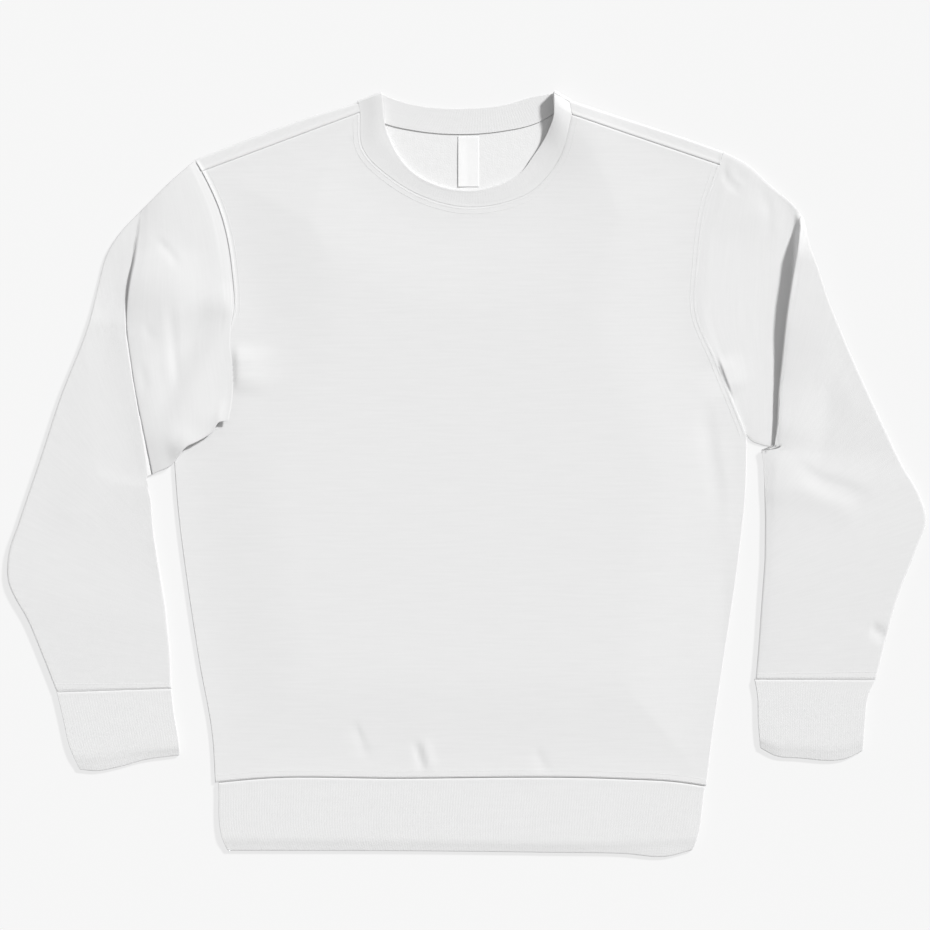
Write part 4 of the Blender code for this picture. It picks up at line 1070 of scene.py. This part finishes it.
def sleeve_skins(sleeve, spacing, strength):
    """The upper and under skins of a sleeve, rows by columns, with each row's place along it."""
    across, full = tube_columns(SLEEVE_WIDTH, EDGE_ROLL, sleeve.inner_roll, SLEEVE_COLUMNS)
    knots, heading, first_bend, last_bend = sleeve_rows(sleeve, across)
    rows, places, at = finer_rows(knots, spacing)
    past = places >= at[last_bend]
    rows[past, :, :2] = step_aside(sleeve, rows[past, :, :2])
    before = smoothstep((at[first_bend] - places) / RISE_BLEND)[:, None]
    after = smoothstep((places - at[last_bend]) / RISE_BLEND)[:, None]
    lifted = crease_relief(rows[..., :2] * [sleeve.side, 1], sleeve.lifts, strength)
    rows[..., 2] += before * (upper_rise(sleeve, rows[..., :2]) + lifted - rows[..., 2])
    rows[..., 2] += after * (forearm_rise(sleeve, rows[..., :2]) - rows[..., 2])
    loose = past | (places <= at[first_bend])
    plain = rows[..., 3].copy()
    rows[loose, :, 3] = pressed_height(sleeve, rows[loose, :, :2], rows[loose, :, 3])
    lap = (sleeve.lap > 0) * lapped(rows[:1, :, 1])
    taper = smoothstep(places / LAP_TAPER)[:, None]
    thin = LAP_EDGE + (LAP_HEIGHT - LAP_EDGE) * taper
    rows[..., 3] += (before > 0) * lap * (np.minimum(rows[..., 3], thin) - rows[..., 3])
    away = np.maximum(before, after)[..., None]
    rows[..., 2:4] = smoothed(rows[..., 2:4], smoothstep(away * SMOOTHING_RAMP))
    full_again = np.maximum(plain[past], rows[past, :, 3])
    rows[past, :, 3] = np.minimum(full_again, rows[past, :, 3] + swell_at(sleeve, rows[past, :, :2]))
    height, angle = rows[..., 3], rows[..., 4]
    mirror = [sleeve.side, 1, 1]
    sense = 1 if sleeve.over else -1
    normal = np.dstack([sense * heading[None, :, :] * np.sin(angle)[..., None], np.cos(angle)]) * mirror
    centre = rows[..., :3] * mirror + np.dstack([0 * height, 0 * height, height / 2])
    half = (height / 2 * full)[..., None]
    top, under = centre + normal * half, centre - normal * half

    from_start, from_end = places[:, None], (at[-1] - places)[:, None]
    relief = seam_relief(from_end, CUFF_SEAM) + 0 * height
    pinch = PINCH_RIGHT if sleeve.side > 0 else PINCH_LEFT
    relief = relief + (1 - lap) * looked_up(top[:1, :, 1], pinch) * seam_relief(from_start, SLEEVE_SEAM)
    upper = smoothstep((at[first_bend] - places) / CREASE_CLEAR)[:, None]
    forearm = smoothstep((places - at[last_bend]) / CREASE_CLEAR)[:, None]
    relief = relief + upper * crease_relief(top[..., :2], sleeve.creases["upper"], strength)
    relief = relief + forearm * crease_relief(top[..., :2], sleeve.creases["forearm"], strength)
    relief = relief - (places > at[last_bend])[:, None] * inner_fall(sleeve, rows[..., :2])
    top[..., 2] += relief * full
    dent = crease_relief(under[..., :2], sleeve.under, strength)
    under[..., 2] += forearm * dent * full
    ends = 1 - lap * (1 - rolled(from_start, LAP_ROLL))
    middle = centre[..., 2]
    top[..., 2] = middle + (top[..., 2] - middle) * ends
    under[..., 2] = middle + (under[..., 2] - middle) * ends
    return top, under, places


def make_sleeve(name, node, sleeve):
    sizes = bpy.context.scene.sweatshirt_sizes
    top, under, places = sleeve_skins(sleeve, sizes.spacing / MM, sizes.creases)
    loop = np.concatenate([top, under[:, -2:0:-1]], axis=1)
    width = np.linalg.norm(np.diff(np.concatenate([loop, loop[:, :1]], axis=1), axis=1), axis=2)
    around = np.cumsum(width, axis=1).mean(axis=0)
    uv = np.dstack(np.meshgrid(around, places))
    piece = new_piece(name, loop, grid_faces(numbered(loop), closed=True), uv, ["jersey_face"])
    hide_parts(node)
    return piece


# ---------------------------------------------------------------- bands

CUFF_LEFT_ROWS = [
    [(-389.3, -206.7), (-280.3, -203.2)],
    [(-384, -229), (-277.5, -228)],
    [(-377, -259), (-273, -255)],
    [(-367.5, -280.5), (-351.5, -282), (-330.5, -278), (-306.5, -271), (-272.5, -266)],
]
CUFF_RIGHT_ROWS = [
    [(273, -194.6), (388, -195.1)],
    [(275.5, -208), (382, -207)],
    [(276.5, -235), (378, -235)],
    [(278.5, -259.5), (294, -267.5), (314.5, -269.5), (361, -269.5), (376, -262)],
]
HEM_ROWS = [
    [(-236, -292.7), (-200, -289.2), (-68, -288.7), (145, -289.2), (200, -292.2), (226, -296)],
    [(-231, -349), (-68, -350), (145, -352), (217.5, -349)],
    [(-227, -357.3), (-55, -357.5), (82, -358.8), (150, -360.3), (188, -363.75), (214.5, -356.5)],
]
BAND_FREE_FRONT = [
    (-75, 322.5), (-54, 289.5), (-11, 270.5), (12.5, 270.5), (54, 289.5),
    (62.5, 301.5), (68.5, 310), (73.5, 318), (77.5, 326.5), (81.5, 337),
]
BAND_FREE_BACK = [(58, 357.5), (42, 352.5), (-1.5, 347.5), (-44.5, 350), (-71, 357)]
Turn = namedtuple("Turn", "seam free seam_radius free_radius")
TURN_LEFT = Turn((-104.2, 355.0), (-81.5, 363.5), 1.45, 1.9)
TURN_RIGHT = Turn((98.9, 355.7), (83.6, 364.3), 4.5, 7.6)
BEND_DEPTH = 1.5  # how far a neckband's crease is rounded in plan, however tall it stands
BAND_LIFT_RUN = 0.17  # share of the front band that each crease lifts
FRONT_SINK, SINK_RUN = 1.1, 0.25  # how far the front band settles, away from the back band's ends
BAND_ROLL = 0.2  # how far in a neckband's free edge is rounded
BAND_TAPER = 21.0  # how far a neckband takes to reach its full height from its seam
FREE_DROOP, DROOP_RUN = 1.3, 11.0  # how a band's fold softens towards its free edge
LIP_STEPS = 5
RIB_COLUMNS = 6  # columns to one rib
BAND_SPACING = 3.2
BAND_SKIN = 0.2  # the least height between a band's two skins
RIB_SHAPE = 0.7  # below 1, ribs are wider than the furrows between them
INNER_STEP = 4  # how many rows of a band's outer skin there are to one of its inner skin
# Rows of the neckband: distances from its seam, shares of the way, and distances from its free edge
NECKBAND_SEAM_ROWS = np.array([0.0, 0.5, 1.2, 2.2, 3.6])
NECKBAND_ROWS = (0.25, 0.37, 0.5, 0.62, 0.74, 0.84)
NECKBAND_FREE_ROWS = np.array([0.0, 0.05, 0.15, 0.33, 0.65, 1.2])
NECKBAND_SMOOTH_ROWS = 4  # the rows at its free edge that its ribs don't reach
NECKBAND_BENDS = np.linspace(80, -80, 17)  # stations round a crease, in degrees
NECKBAND_SINK = 0.4  # how far past its middle the outer skin comes down at the seam


def rib_relief(along_band, sizes):
    """Rounded ribs along a band, with narrower furrows between them."""
    phase = np.cos(along_band / (sizes.rib_pitch / MM) * math.tau)
    return sizes.rib_relief / MM * (0.5 + 0.5 * phase) ** RIB_SHAPE


def make_band(name, node, rows):
    """A doubled rib band pressed flat: an outer skin, a rounded free fold, and the skin inside it."""
    sizes = bpy.context.scene.sweatshirt_sizes
    width = np.linalg.norm(np.subtract(rows[0][-1], rows[0][0]))
    columns = round(width / (sizes.rib_pitch / MM) * RIB_COLUMNS)
    across, full = tube_columns(width, EDGE_ROLL, EDGE_ROLL, columns)
    knots = np.stack([smooth_curve(row, across) for row in rows])
    own = lengths_along(knots)
    at = own.mean(axis=1)
    wall = RIB_CLOTH / 2
    places = graded(at[-1] - wall, BAND_SPACING, end=False) * (at[-1] - wall)
    plan = through(knots, own, *spans_at(at, places))
    inset = RIB_CLOTH / width
    inner_across = inset + across * (1 - 2 * inset)
    inner_plan = np.stack([
        np.stack([np.interp(inner_across, across, row[:, k]) for k in (0, 1)], axis=-1) for row in plan
    ])
    from_free = (places[-1] - places)[:, None]
    droop = FREE_DROOP * (1 - smoothstep(from_free / DROOP_RUN))
    ribs = rib_relief(across * width, sizes)[None, :] * (full == 1.0)
    middle = BAND_HEIGHT / 2
    outer_top = middle + (middle - droop) * full + seam_relief(places[:, None], BAND_SEAM) * full + ribs
    outer_under = middle - middle * full + 0 * places[:, None]
    hollow = GAP / 2 * full
    inner_top = np.minimum(middle + hollow + 0 * places[:, None], outer_top - BAND_SKIN * full)
    inner_under = middle - hollow + 0 * places[:, None]
    inner_under = np.maximum(inner_under, outer_under)

    outward = unit(plan[-1] - plan[-2])
    layers = []
    for outer_z, inner_z in ((outer_top, inner_top), (outer_under, inner_under)):
        outer = np.dstack([plan, outer_z])
        inner = np.dstack([inner_plan, inner_z])
        start, end = outer[-1], inner[-1]
        lip = []
        for angle in np.radians(np.linspace(0, 180, LIP_STEPS + 1))[1:-1]:
            turned = (start + end) / 2 + (start - end) / 2 * math.cos(angle)
            turned[:, :2] += outward * wall * math.sin(angle)
            lip.append(turned)
        layers.append(np.concatenate([outer, np.stack(lip), inner[::-INNER_STEP]]))
    loop = np.concatenate([layers[0], layers[1][:, -2:0:-1]], axis=1)
    around = np.concatenate([across, 2 - across[-2:0:-1]]) * width
    inner_down = places[-1] + from_free[::-INNER_STEP, 0]
    down = np.concatenate([places, places[-1] + np.arange(1, LIP_STEPS), inner_down])
    uv = np.dstack(np.meshgrid(around, down))
    piece = new_piece(name, loop, grid_faces(numbered(loop), closed=True), uv, ["rib_face"])
    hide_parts(node)


def turn_bend(turn, degrees):
    """Seam and free points of the neckband's middle at a crease: 90 degrees in front, -90 at the back."""
    angle = math.radians(degrees)
    line = np.array([turn.seam, turn.free], float)
    run = unit(line[1] - line[0])
    out = np.array([-run[1], run[0]]) * np.sign(run[0])
    radius = np.array([[turn.seam_radius], [turn.free_radius]])
    plan = line - out * (RIB_CLOTH / 2 + BEND_DEPTH * (1 - math.cos(angle)))
    return np.hstack([plan, RIB_CLOTH / 2 + radius * (1 + math.sin(angle))])


def front_lift(place):
    """How far the wider creases lift the front free edge, at shares of the way from left to right."""
    return sum(
        2 * (turn.free_radius - turn.seam_radius) * (1 - smoothstep(away / BAND_LIFT_RUN))
        for turn, away in ((TURN_LEFT, place), (TURN_RIGHT, 1 - place))
    )


def band_run(seam, free, start, end, base, lift, spacing):
    """Stations along one layer of the neckband, from one crease's corner to the other's."""
    seam = np.concatenate([start[:1, :2], seam, end[:1, :2]])
    free = np.concatenate([start[1:, :2], free, end[1:, :2]])
    at = shares(round(lengths_along(seam)[-1] / spacing))
    seam_line, free_line = along(seam, at), smooth_curve(free, at)
    seam_line = seam_line + SEAM_GAP * unit(free_line - seam_line)
    low = np.column_stack([seam_line, np.full(len(at), base)])
    if base > RIB_CLOTH:
        low[:, 2] += neck_puff(seam_line) - FRONT_SINK * smoothstep(np.minimum(at, 1 - at) / SINK_RUN)
    high = np.column_stack([free_line, low[:, 2] + lift(at)])
    return np.stack([low, high], axis=1)


def make_neckband():
    sizes = bpy.context.scene.sweatshirt_sizes
    turns = (TURN_LEFT, TURN_RIGHT)
    front_left, front_right = (turn_bend(turn, 90) for turn in turns)
    back_left, back_right = (turn_bend(turn, -90) for turn in turns)
    half = RIB_CLOTH / 2
    over = half + RIB_CLOTH + GAP
    step = sizes.rib_pitch / MM / RIB_COLUMNS
    front_seam = smooth_curve(NECK_FRONT, shares(EDGE_POINTS))
    back_seam = smooth_curve(NECK_BACK, shares(EDGE_POINTS))[-4:3:-1]  # up to the creases' own corners
    middle = np.concatenate([
        band_run(front_seam, BAND_FREE_FRONT, front_left, front_right, over, front_lift, step),
        np.stack([turn_bend(TURN_RIGHT, angle) for angle in NECKBAND_BENDS]),
        band_run(back_seam, BAND_FREE_BACK, back_right, back_left, half, np.zeros_like, step),
        np.stack([turn_bend(TURN_LEFT, angle) for angle in NECKBAND_BENDS[::-1]]),
    ])
    wrapped = np.concatenate([middle[-1:], middle, middle[:1]])
    normal = unit(np.cross(wrapped[2:] - wrapped[:-2], np.gradient(middle, axis=1)))
    normal *= np.sign(normal[len(normal) // 4, 0, 2])
    station = lengths_along(wrapped[:-1].mean(axis=1))[1:]
    deep = np.linalg.norm(middle[:, 1] - middle[:, 0], axis=1)
    ribs = rib_relief(station, sizes)
    seam_height = middle[:, 0, 2] - neck_puff(middle[:, 0, :2])
    skins = []
    for sign in (1, -1):
        columns = []
        taper = np.clip(half - BODY_HEIGHT + seam_height, 0, half + NECKBAND_SINK) * (sign > 0)
        places = [d / deep for d in NECKBAND_SEAM_ROWS] + [share + 0 * deep for share in NECKBAND_ROWS]
        spots = [(share, half - taper * (1 - smoothstep(share * deep / BAND_TAPER))) for share in places]
        spots += [(1 - d / deep, half * rolled(d, BAND_ROLL)) for d in NECKBAND_FREE_ROWS[::-1]]
        for number, (share, thick) in enumerate(spots):
            place = middle[:, 0] + share[:, None] * (middle[:, 1] - middle[:, 0])
            direction = unit(normal[:, 0] + share[:, None] * (normal[:, 1] - normal[:, 0]))
            rib = ribs if number < len(spots) - NECKBAND_SMOOTH_ROWS else ribs * 0
            columns.append(place + sign * direction * (thick + rib)[:, None])
        skins.append(np.stack(columns, axis=1))
    outside, inside = skins
    loop = np.concatenate([outside, inside[:, -2::-1]], axis=1)
    loop[..., 2] = np.maximum(loop[..., 2], 0.0)  # nothing goes below the surface that it lies on
    uv = np.dstack(np.meshgrid(lengths_along(loop[0]), station))[..., ::-1]
    index = numbered(loop)
    faces = grid_faces(np.concatenate([index, index[:1]]), closed=True)
    piece = new_piece("neckband_rib", loop, faces, uv, ["rib_face"])
    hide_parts("neckband")


# ---------------------------------------------------------------- label and stitching

LABEL_SIZE = (20.0, 48.0)
LABEL_CENTRE = (1.5, 297.0)
LABEL_BASE, LABEL_THICKNESS = 1.62, 0.25
LABEL_CURL, LABEL_CURL_SHARE, LABEL_WAVE = 0.5, 0.5, 0.06
LABEL_HELD, LABEL_FLAT = 0.3, 0.2  # shares of its length beside the seam that keep its curl and its wave down
LABEL_SEAM_CURL = 0.25  # how much of the curl is left at the seam
LABEL_WAVE_DOWN, LABEL_WAVE_ACROSS = 5.0, 1.3
LABEL_GRID = (24, 48)

Stitches = namedtuple("Stitches", "seam offsets")
FRONT_STITCHES = [
    Stitches("neck", (1.9, 6.2)),
    Stitches("hem", (1.7, 6.4)),
    Stitches("armhole_left", (1.8, 5.6)),
    Stitches("armhole_right", (1.8, 5.6)),
]
CUFF_STITCHES = (1.8, 6.2)
STITCH_SINK = 0.16  # how deep the thread goes in at a needle hole
LEFT_STITCHES_START = 150.0  # the left armhole's rows start where the sleeve no longer laps over its seam
THREAD_POINTS, THREAD_SIDES, THREAD_FLATNESS = 5, 6, 0.8
THREAD_STANDS = 0.6  # how far the thread's middle stands off the cloth, as a share of its radius
STITCH_SHARPNESS = 6  # how suddenly a stitch dips to its needle hole
ROW_CLIP = 2.0  # what a row of stitches leaves off at its ends, and how far apart its points are


def make_label():
    """A bare woven label, sewn in at the neck seam and lifting a little along its left edge."""
    width, length = LABEL_SIZE
    u, v = np.meshgrid(*map(shares, LABEL_GRID))
    plan = np.dstack([LABEL_CENTRE[0] + width * (u - 0.5), LABEL_CENTRE[1] + length * (v - 0.5)])
    held = LABEL_SEAM_CURL + (1 - LABEL_SEAM_CURL) * smoothstep((1 - v) / LABEL_HELD)
    curl = LABEL_CURL * (1 - smoothstep(u / LABEL_CURL_SHARE)) * held
    ripple = np.sin(v * LABEL_WAVE_DOWN + u * LABEL_WAVE_ACROSS)
    wave = LABEL_WAVE * ripple * smoothstep((1 - v) / LABEL_FLAT)
    top = LABEL_BASE + LABEL_THICKNESS + curl + wave + LABEL_WAVE
    outer = np.dstack([plan, top]).reshape(-1, 3)
    inner = outer - [0, 0, LABEL_THICKNESS]
    uv = (plan - LABEL_CENTRE).reshape(-1, 2)
    piece = shell_piece("woven_label", outer, inner, grid_faces(numbered(plan)), uv, ["woven_label"])
    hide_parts("label")


def thread(line, sizes):
    """A sewing thread along a line of points: long stitches on top, dipping in at each needle hole."""
    length = lengths_along(line)[-1]
    pitch, radius = sizes.stitch_length / MM, sizes.thread_width / MM / 2
    count = round(length / pitch) * THREAD_POINTS
    points = along(line, shares(count))
    sink = np.abs(np.cos(shares(count) * length / pitch * math.pi)) ** STITCH_SHARPNESS
    points[:, 2] += radius * THREAD_STANDS - sink * (STITCH_SINK + radius)
    run = unit(np.gradient(points, axis=0))
    aside = unit(np.cross(run, [0.0, 0.0, 1.0]))
    above = THREAD_FLATNESS * np.cross(aside, run)
    turn = np.arange(THREAD_SIDES) / THREAD_SIDES * math.tau
    ring = np.cos(turn)[None, :, None] * aside[:, None] + np.sin(turn)[None, :, None] * above[:, None]
    grid = points[:, None] + radius * ring
    uv = np.dstack(np.meshgrid(turn * radius, shares(count) * length))
    return grid, uv


def offset_line(line, side, distance):
    """A line shifted sideways in plan, with a little left off both ends."""
    length = lengths_along(line)[-1]
    clip = ROW_CLIP / length
    keep = clip + shares(round(length / ROW_CLIP)) * (1 - 2 * clip)
    dense = along(line, keep)
    return dense + normals_of(dense, side) * distance


def make_stitching():
    sizes = bpy.context.scene.sweatshirt_sizes
    edges = body_edges()
    inward = {"neck": -1, "hem": 1, "armhole_left": -1, "armhole_right": 1}
    lines = []
    for stitches in FRONT_STITCHES:
        for offset in stitches.offsets:
            plan = offset_line(edges[stitches.seam], inward[stitches.seam], offset)
            if stitches.seam == "armhole_left":
                plan = plan[plan[:, 1] > LEFT_STITCHES_START]
            lines.append(np.column_stack([plan, front_surface(plan, edges, sizes.creases)[0]]))
    for sleeve in (SLEEVE_LEFT, SLEEVE_RIGHT):
        top, _, places = sleeve_skins(sleeve, sizes.spacing / MM, sizes.creases)
        for offset in CUFF_STITCHES:
            row = [np.interp(places[-1] - offset, places, top[:, c, k]) for c in range(top.shape[1]) for k in range(3)]
            lines.append(np.reshape(row, (-1, 3))[EDGE_STEPS:-EDGE_STEPS])
    grids, uvs = zip(*(thread(line, sizes) for line in lines))
    firsts = np.cumsum([0] + [THREAD_SIDES * len(grid) for grid in grids])
    faces = [grid_faces(numbered(grid, first), closed=True) for grid, first in zip(grids, firsts)]
    points, faces, uv = (np.concatenate(rows) for rows in (grids, faces, uvs))
    piece = new_piece("stitching", points, faces, uv, ["sewing_thread"])


# ---------------------------------------------------------------- stage

FLOOR_REACH, SIGHT = 4.0, 100.0  # the floor's half width, and how far the camera sees, in metres
SENSOR_WIDTH = 36.0  # in millimetres, as the lens is
WHITE = (1.0, 1.0, 1.0, 1.0)


def make_stage():
    """A pale floor, one soft key light from the upper right, even fill, and the camera straight above."""
    stage = bpy.context.scene.sweatshirt_stage
    scene = bpy.context.scene
    mesh = bpy.data.meshes.new("pale_floor")
    corners = [(-1, -1), (1, -1), (1, 1), (-1, 1)]
    mesh.from_pydata([(FLOOR_REACH * x, FLOOR_REACH * y, -stage.floor_gap) for x, y in corners], [], [(0, 1, 2, 3)])
    paint = bpy.data.materials.new("pale_floor")
    paint.use_nodes = True
    matte = {
        "Base Color": stage.floor_colour,
        "Roughness": 1.0,
        "Specular IOR Level": 0.0,
        "Emission Color": WHITE,
        "Emission Strength": stage.floor_glow,
    }
    set_inputs(paint.node_tree.nodes["Principled BSDF"], matte)
    mesh.materials.append(paint)
    add_object("pale_floor", mesh)

    world = bpy.data.worlds.new("studio")
    world.use_nodes = True
    set_inputs(world.node_tree.nodes["Background"], {"Color": WHITE, "Strength": stage.fill})
    scene.world = world

    lamp = bpy.data.lights.new("key_light", "SUN")
    lamp.energy = stage.key
    lamp.angle = stage.key_softness
    key = add_object("key_light", lamp)
    key.rotation_euler = (0.0, math.pi / 2 - stage.key_height, stage.key_side)

    lens = bpy.data.cameras.new("overhead_camera")
    lens.sensor_width = SENSOR_WIDTH
    lens.lens = SENSOR_WIDTH * stage.camera_height / stage.frame_width
    lens.clip_end = SIGHT
    camera = add_object("overhead_camera", lens)
    camera.location = (stage.frame_x, stage.frame_y, stage.camera_height)
    scene.camera = camera
    scene.view_settings.view_transform = "Standard"


# ---------------------------------------------------------------- add-on


def length_property(name, description, default):
    return bpy.props.FloatProperty(name=name, description=description, default=default, unit="LENGTH")


def number_property(name, description, default, subtype="NONE"):
    return bpy.props.FloatProperty(name=name, description=description, default=default, subtype=subtype)


def colour_property(name, description, *default):
    return bpy.props.FloatVectorProperty(
        name=name, description=description, default=default, size=len(default), subtype="COLOR"
    )


class SweatshirtSizes(bpy.types.PropertyGroup):
    """Sizes that a user would change."""

    spacing: length_property("Mesh spacing", "Distance between rows of cloth", 0.0032)
    creases: number_property("Creases", "Strength of the soft creases", 1.0, "FACTOR")
    rib_pitch: length_property("Rib pitch", "One rib and one furrow", 0.0025)
    rib_relief: length_property("Rib relief", "Height of a rib over its furrow", 0.00004)
    stitch_length: length_property("Stitch length", "Distance between needle holes", 0.003)
    thread_width: length_property("Thread width", "Width of the sewing thread", 0.00042)


class SweatshirtColours(bpy.types.PropertyGroup):
    """Colours that a user would change."""

    fleece: colour_property("Fleece", "Outside of the body", 0.772, 0.772, 0.772)
    inside: colour_property("Inside", "Brushed inside", 0.795, 0.795, 0.795)
    rib: colour_property("Rib", "Cuffs, hem band and neckband", 0.785, 0.785, 0.785)
    label: colour_property("Label", "Woven label", 0.87, 0.87, 0.87)
    thread: colour_property("Thread", "Sewing thread", 0.80, 0.80, 0.80)


class SweatshirtStage(bpy.types.PropertyGroup):
    """The studio around the garment."""

    floor_colour: colour_property("Floor", "Colour of the floor", 0.18, 0.18, 0.18, 1.0)
    floor_glow: number_property("Floor glow", "Evens out the floor", 0.730)
    floor_gap: length_property("Floor gap", "Floor below the garment", 0.0003)
    fill: number_property("Fill", "Strength of the even light", 0.42)
    key: number_property("Key", "Strength of the key light", 3.409)
    key_softness: number_property("Key softness", "Width of the key light", 0.13, "ANGLE")
    key_height: number_property("Key height", "Key light above the floor", math.radians(38), "ANGLE")
    key_side: number_property("Key side", "Key light round from +X", math.radians(42), "ANGLE")
    frame_width: length_property("Frame width", "Width of the picture at the garment", 0.8835)
    frame_x: length_property("Frame across", "Middle of the picture", -0.0017)
    frame_y: length_property("Frame up", "Middle of the picture", 0.009)
    camera_height: length_property("Camera height", "Camera above the garment", 5.0)


class SWEATSHIRT_OT_stage(bpy.types.Operator):
    """Add the floor, lights and camera"""

    bl_idname = "sweatshirt.stage"
    bl_label = "Stage"

    def execute(self, context):
        make_stage()
        return {"FINISHED"}


class SWEATSHIRT_OT_back(bpy.types.Operator):
    """Add the back panel"""

    bl_idname = "sweatshirt.back"
    bl_label = "Back panel"

    def execute(self, context):
        make_back()
        return {"FINISHED"}


class SWEATSHIRT_OT_front(bpy.types.Operator):
    """Add the front panel"""

    bl_idname = "sweatshirt.front"
    bl_label = "Front panel"

    def execute(self, context):
        make_front()
        return {"FINISHED"}


class SWEATSHIRT_OT_sleeves(bpy.types.Operator):
    """Add both sleeves"""

    bl_idname = "sweatshirt.sleeves"
    bl_label = "Sleeves"

    def execute(self, context):
        right = make_sleeve("sleeve_right_cloth", "sleeve_right", SLEEVE_RIGHT)
        left = make_sleeve("sleeve_left_cloth", "sleeve_left", SLEEVE_LEFT)
        return {"FINISHED"}


class SWEATSHIRT_OT_cuffs(bpy.types.Operator):
    """Add both ribbed cuffs"""

    bl_idname = "sweatshirt.cuffs"
    bl_label = "Cuffs"

    def execute(self, context):
        make_band("cuff_left_rib", "cuff_left", CUFF_LEFT_ROWS)
        make_band("cuff_right_rib", "cuff_right", CUFF_RIGHT_ROWS)
        return {"FINISHED"}


class SWEATSHIRT_OT_hem_band(bpy.types.Operator):
    """Add the ribbed hem band"""

    bl_idname = "sweatshirt.hem_band"
    bl_label = "Hem band"

    def execute(self, context):
        make_band("hem_band_rib", "hem_band", HEM_ROWS)
        return {"FINISHED"}


class SWEATSHIRT_OT_neckband(bpy.types.Operator):
    """Add the ribbed neckband"""

    bl_idname = "sweatshirt.neckband"
    bl_label = "Neckband"

    def execute(self, context):
        make_neckband()
        return {"FINISHED"}


class SWEATSHIRT_OT_label(bpy.types.Operator):
    """Add the bare woven label"""

    bl_idname = "sweatshirt.label"
    bl_label = "Label"

    def execute(self, context):
        make_label()
        return {"FINISHED"}


class SWEATSHIRT_OT_stitching(bpy.types.Operator):
    """Add the twin-needle stitching beside the seams"""

    bl_idname = "sweatshirt.stitching"
    bl_label = "Stitching"

    def execute(self, context):
        make_stitching()
        return {"FINISHED"}


OPERATORS = (
    SWEATSHIRT_OT_stage,
    SWEATSHIRT_OT_back,
    SWEATSHIRT_OT_front,
    SWEATSHIRT_OT_sleeves,
    SWEATSHIRT_OT_cuffs,
    SWEATSHIRT_OT_hem_band,
    SWEATSHIRT_OT_neckband,
    SWEATSHIRT_OT_label,
    SWEATSHIRT_OT_stitching,
)


class SWEATSHIRT_PT_panel(bpy.types.Panel):
    """Sizes, colours and pieces of the sweatshirt"""

    bl_idname = "SWEATSHIRT_PT_panel"
    bl_label = "Sweatshirt"
    bl_space_type = "VIEW_3D"
    bl_region_type = "UI"
    bl_category = "Sweatshirt"

    def draw(self, context):
        for title in GROUPS:
            group = getattr(context.scene, title)
            box = self.layout.box()
            for name in group.__annotations__:
                box.prop(group, name)
        for operator in OPERATORS:
            self.layout.operator(operator.bl_idname)


GROUPS = {
    "sweatshirt_sizes": SweatshirtSizes,
    "sweatshirt_colours": SweatshirtColours,
    "sweatshirt_stage": SweatshirtStage,
}


def register():
    for made in (*GROUPS.values(), *OPERATORS, SWEATSHIRT_PT_panel):
        bpy.utils.register_class(made)
    for name, group in GROUPS.items():
        setattr(bpy.types.Scene, name, bpy.props.PointerProperty(type=group))


def unregister():
    for name in GROUPS:
        delattr(bpy.types.Scene, name)
    for made in (SWEATSHIRT_PT_panel, *reversed(OPERATORS), *reversed(GROUPS.values())):
        bpy.utils.unregister_class(made)


def main():
    register()
    bpy.ops.sweatshirt.stage()
    bpy.ops.sweatshirt.back()
    bpy.ops.sweatshirt.front()
    bpy.ops.sweatshirt.sleeves()
    bpy.ops.sweatshirt.cuffs()
    bpy.ops.sweatshirt.hem_band()
    bpy.ops.sweatshirt.neckband()
    bpy.ops.sweatshirt.label()
    bpy.ops.sweatshirt.stitching()
    bpy.context.view_layer.update()


if __name__ == "__main__":
    main()
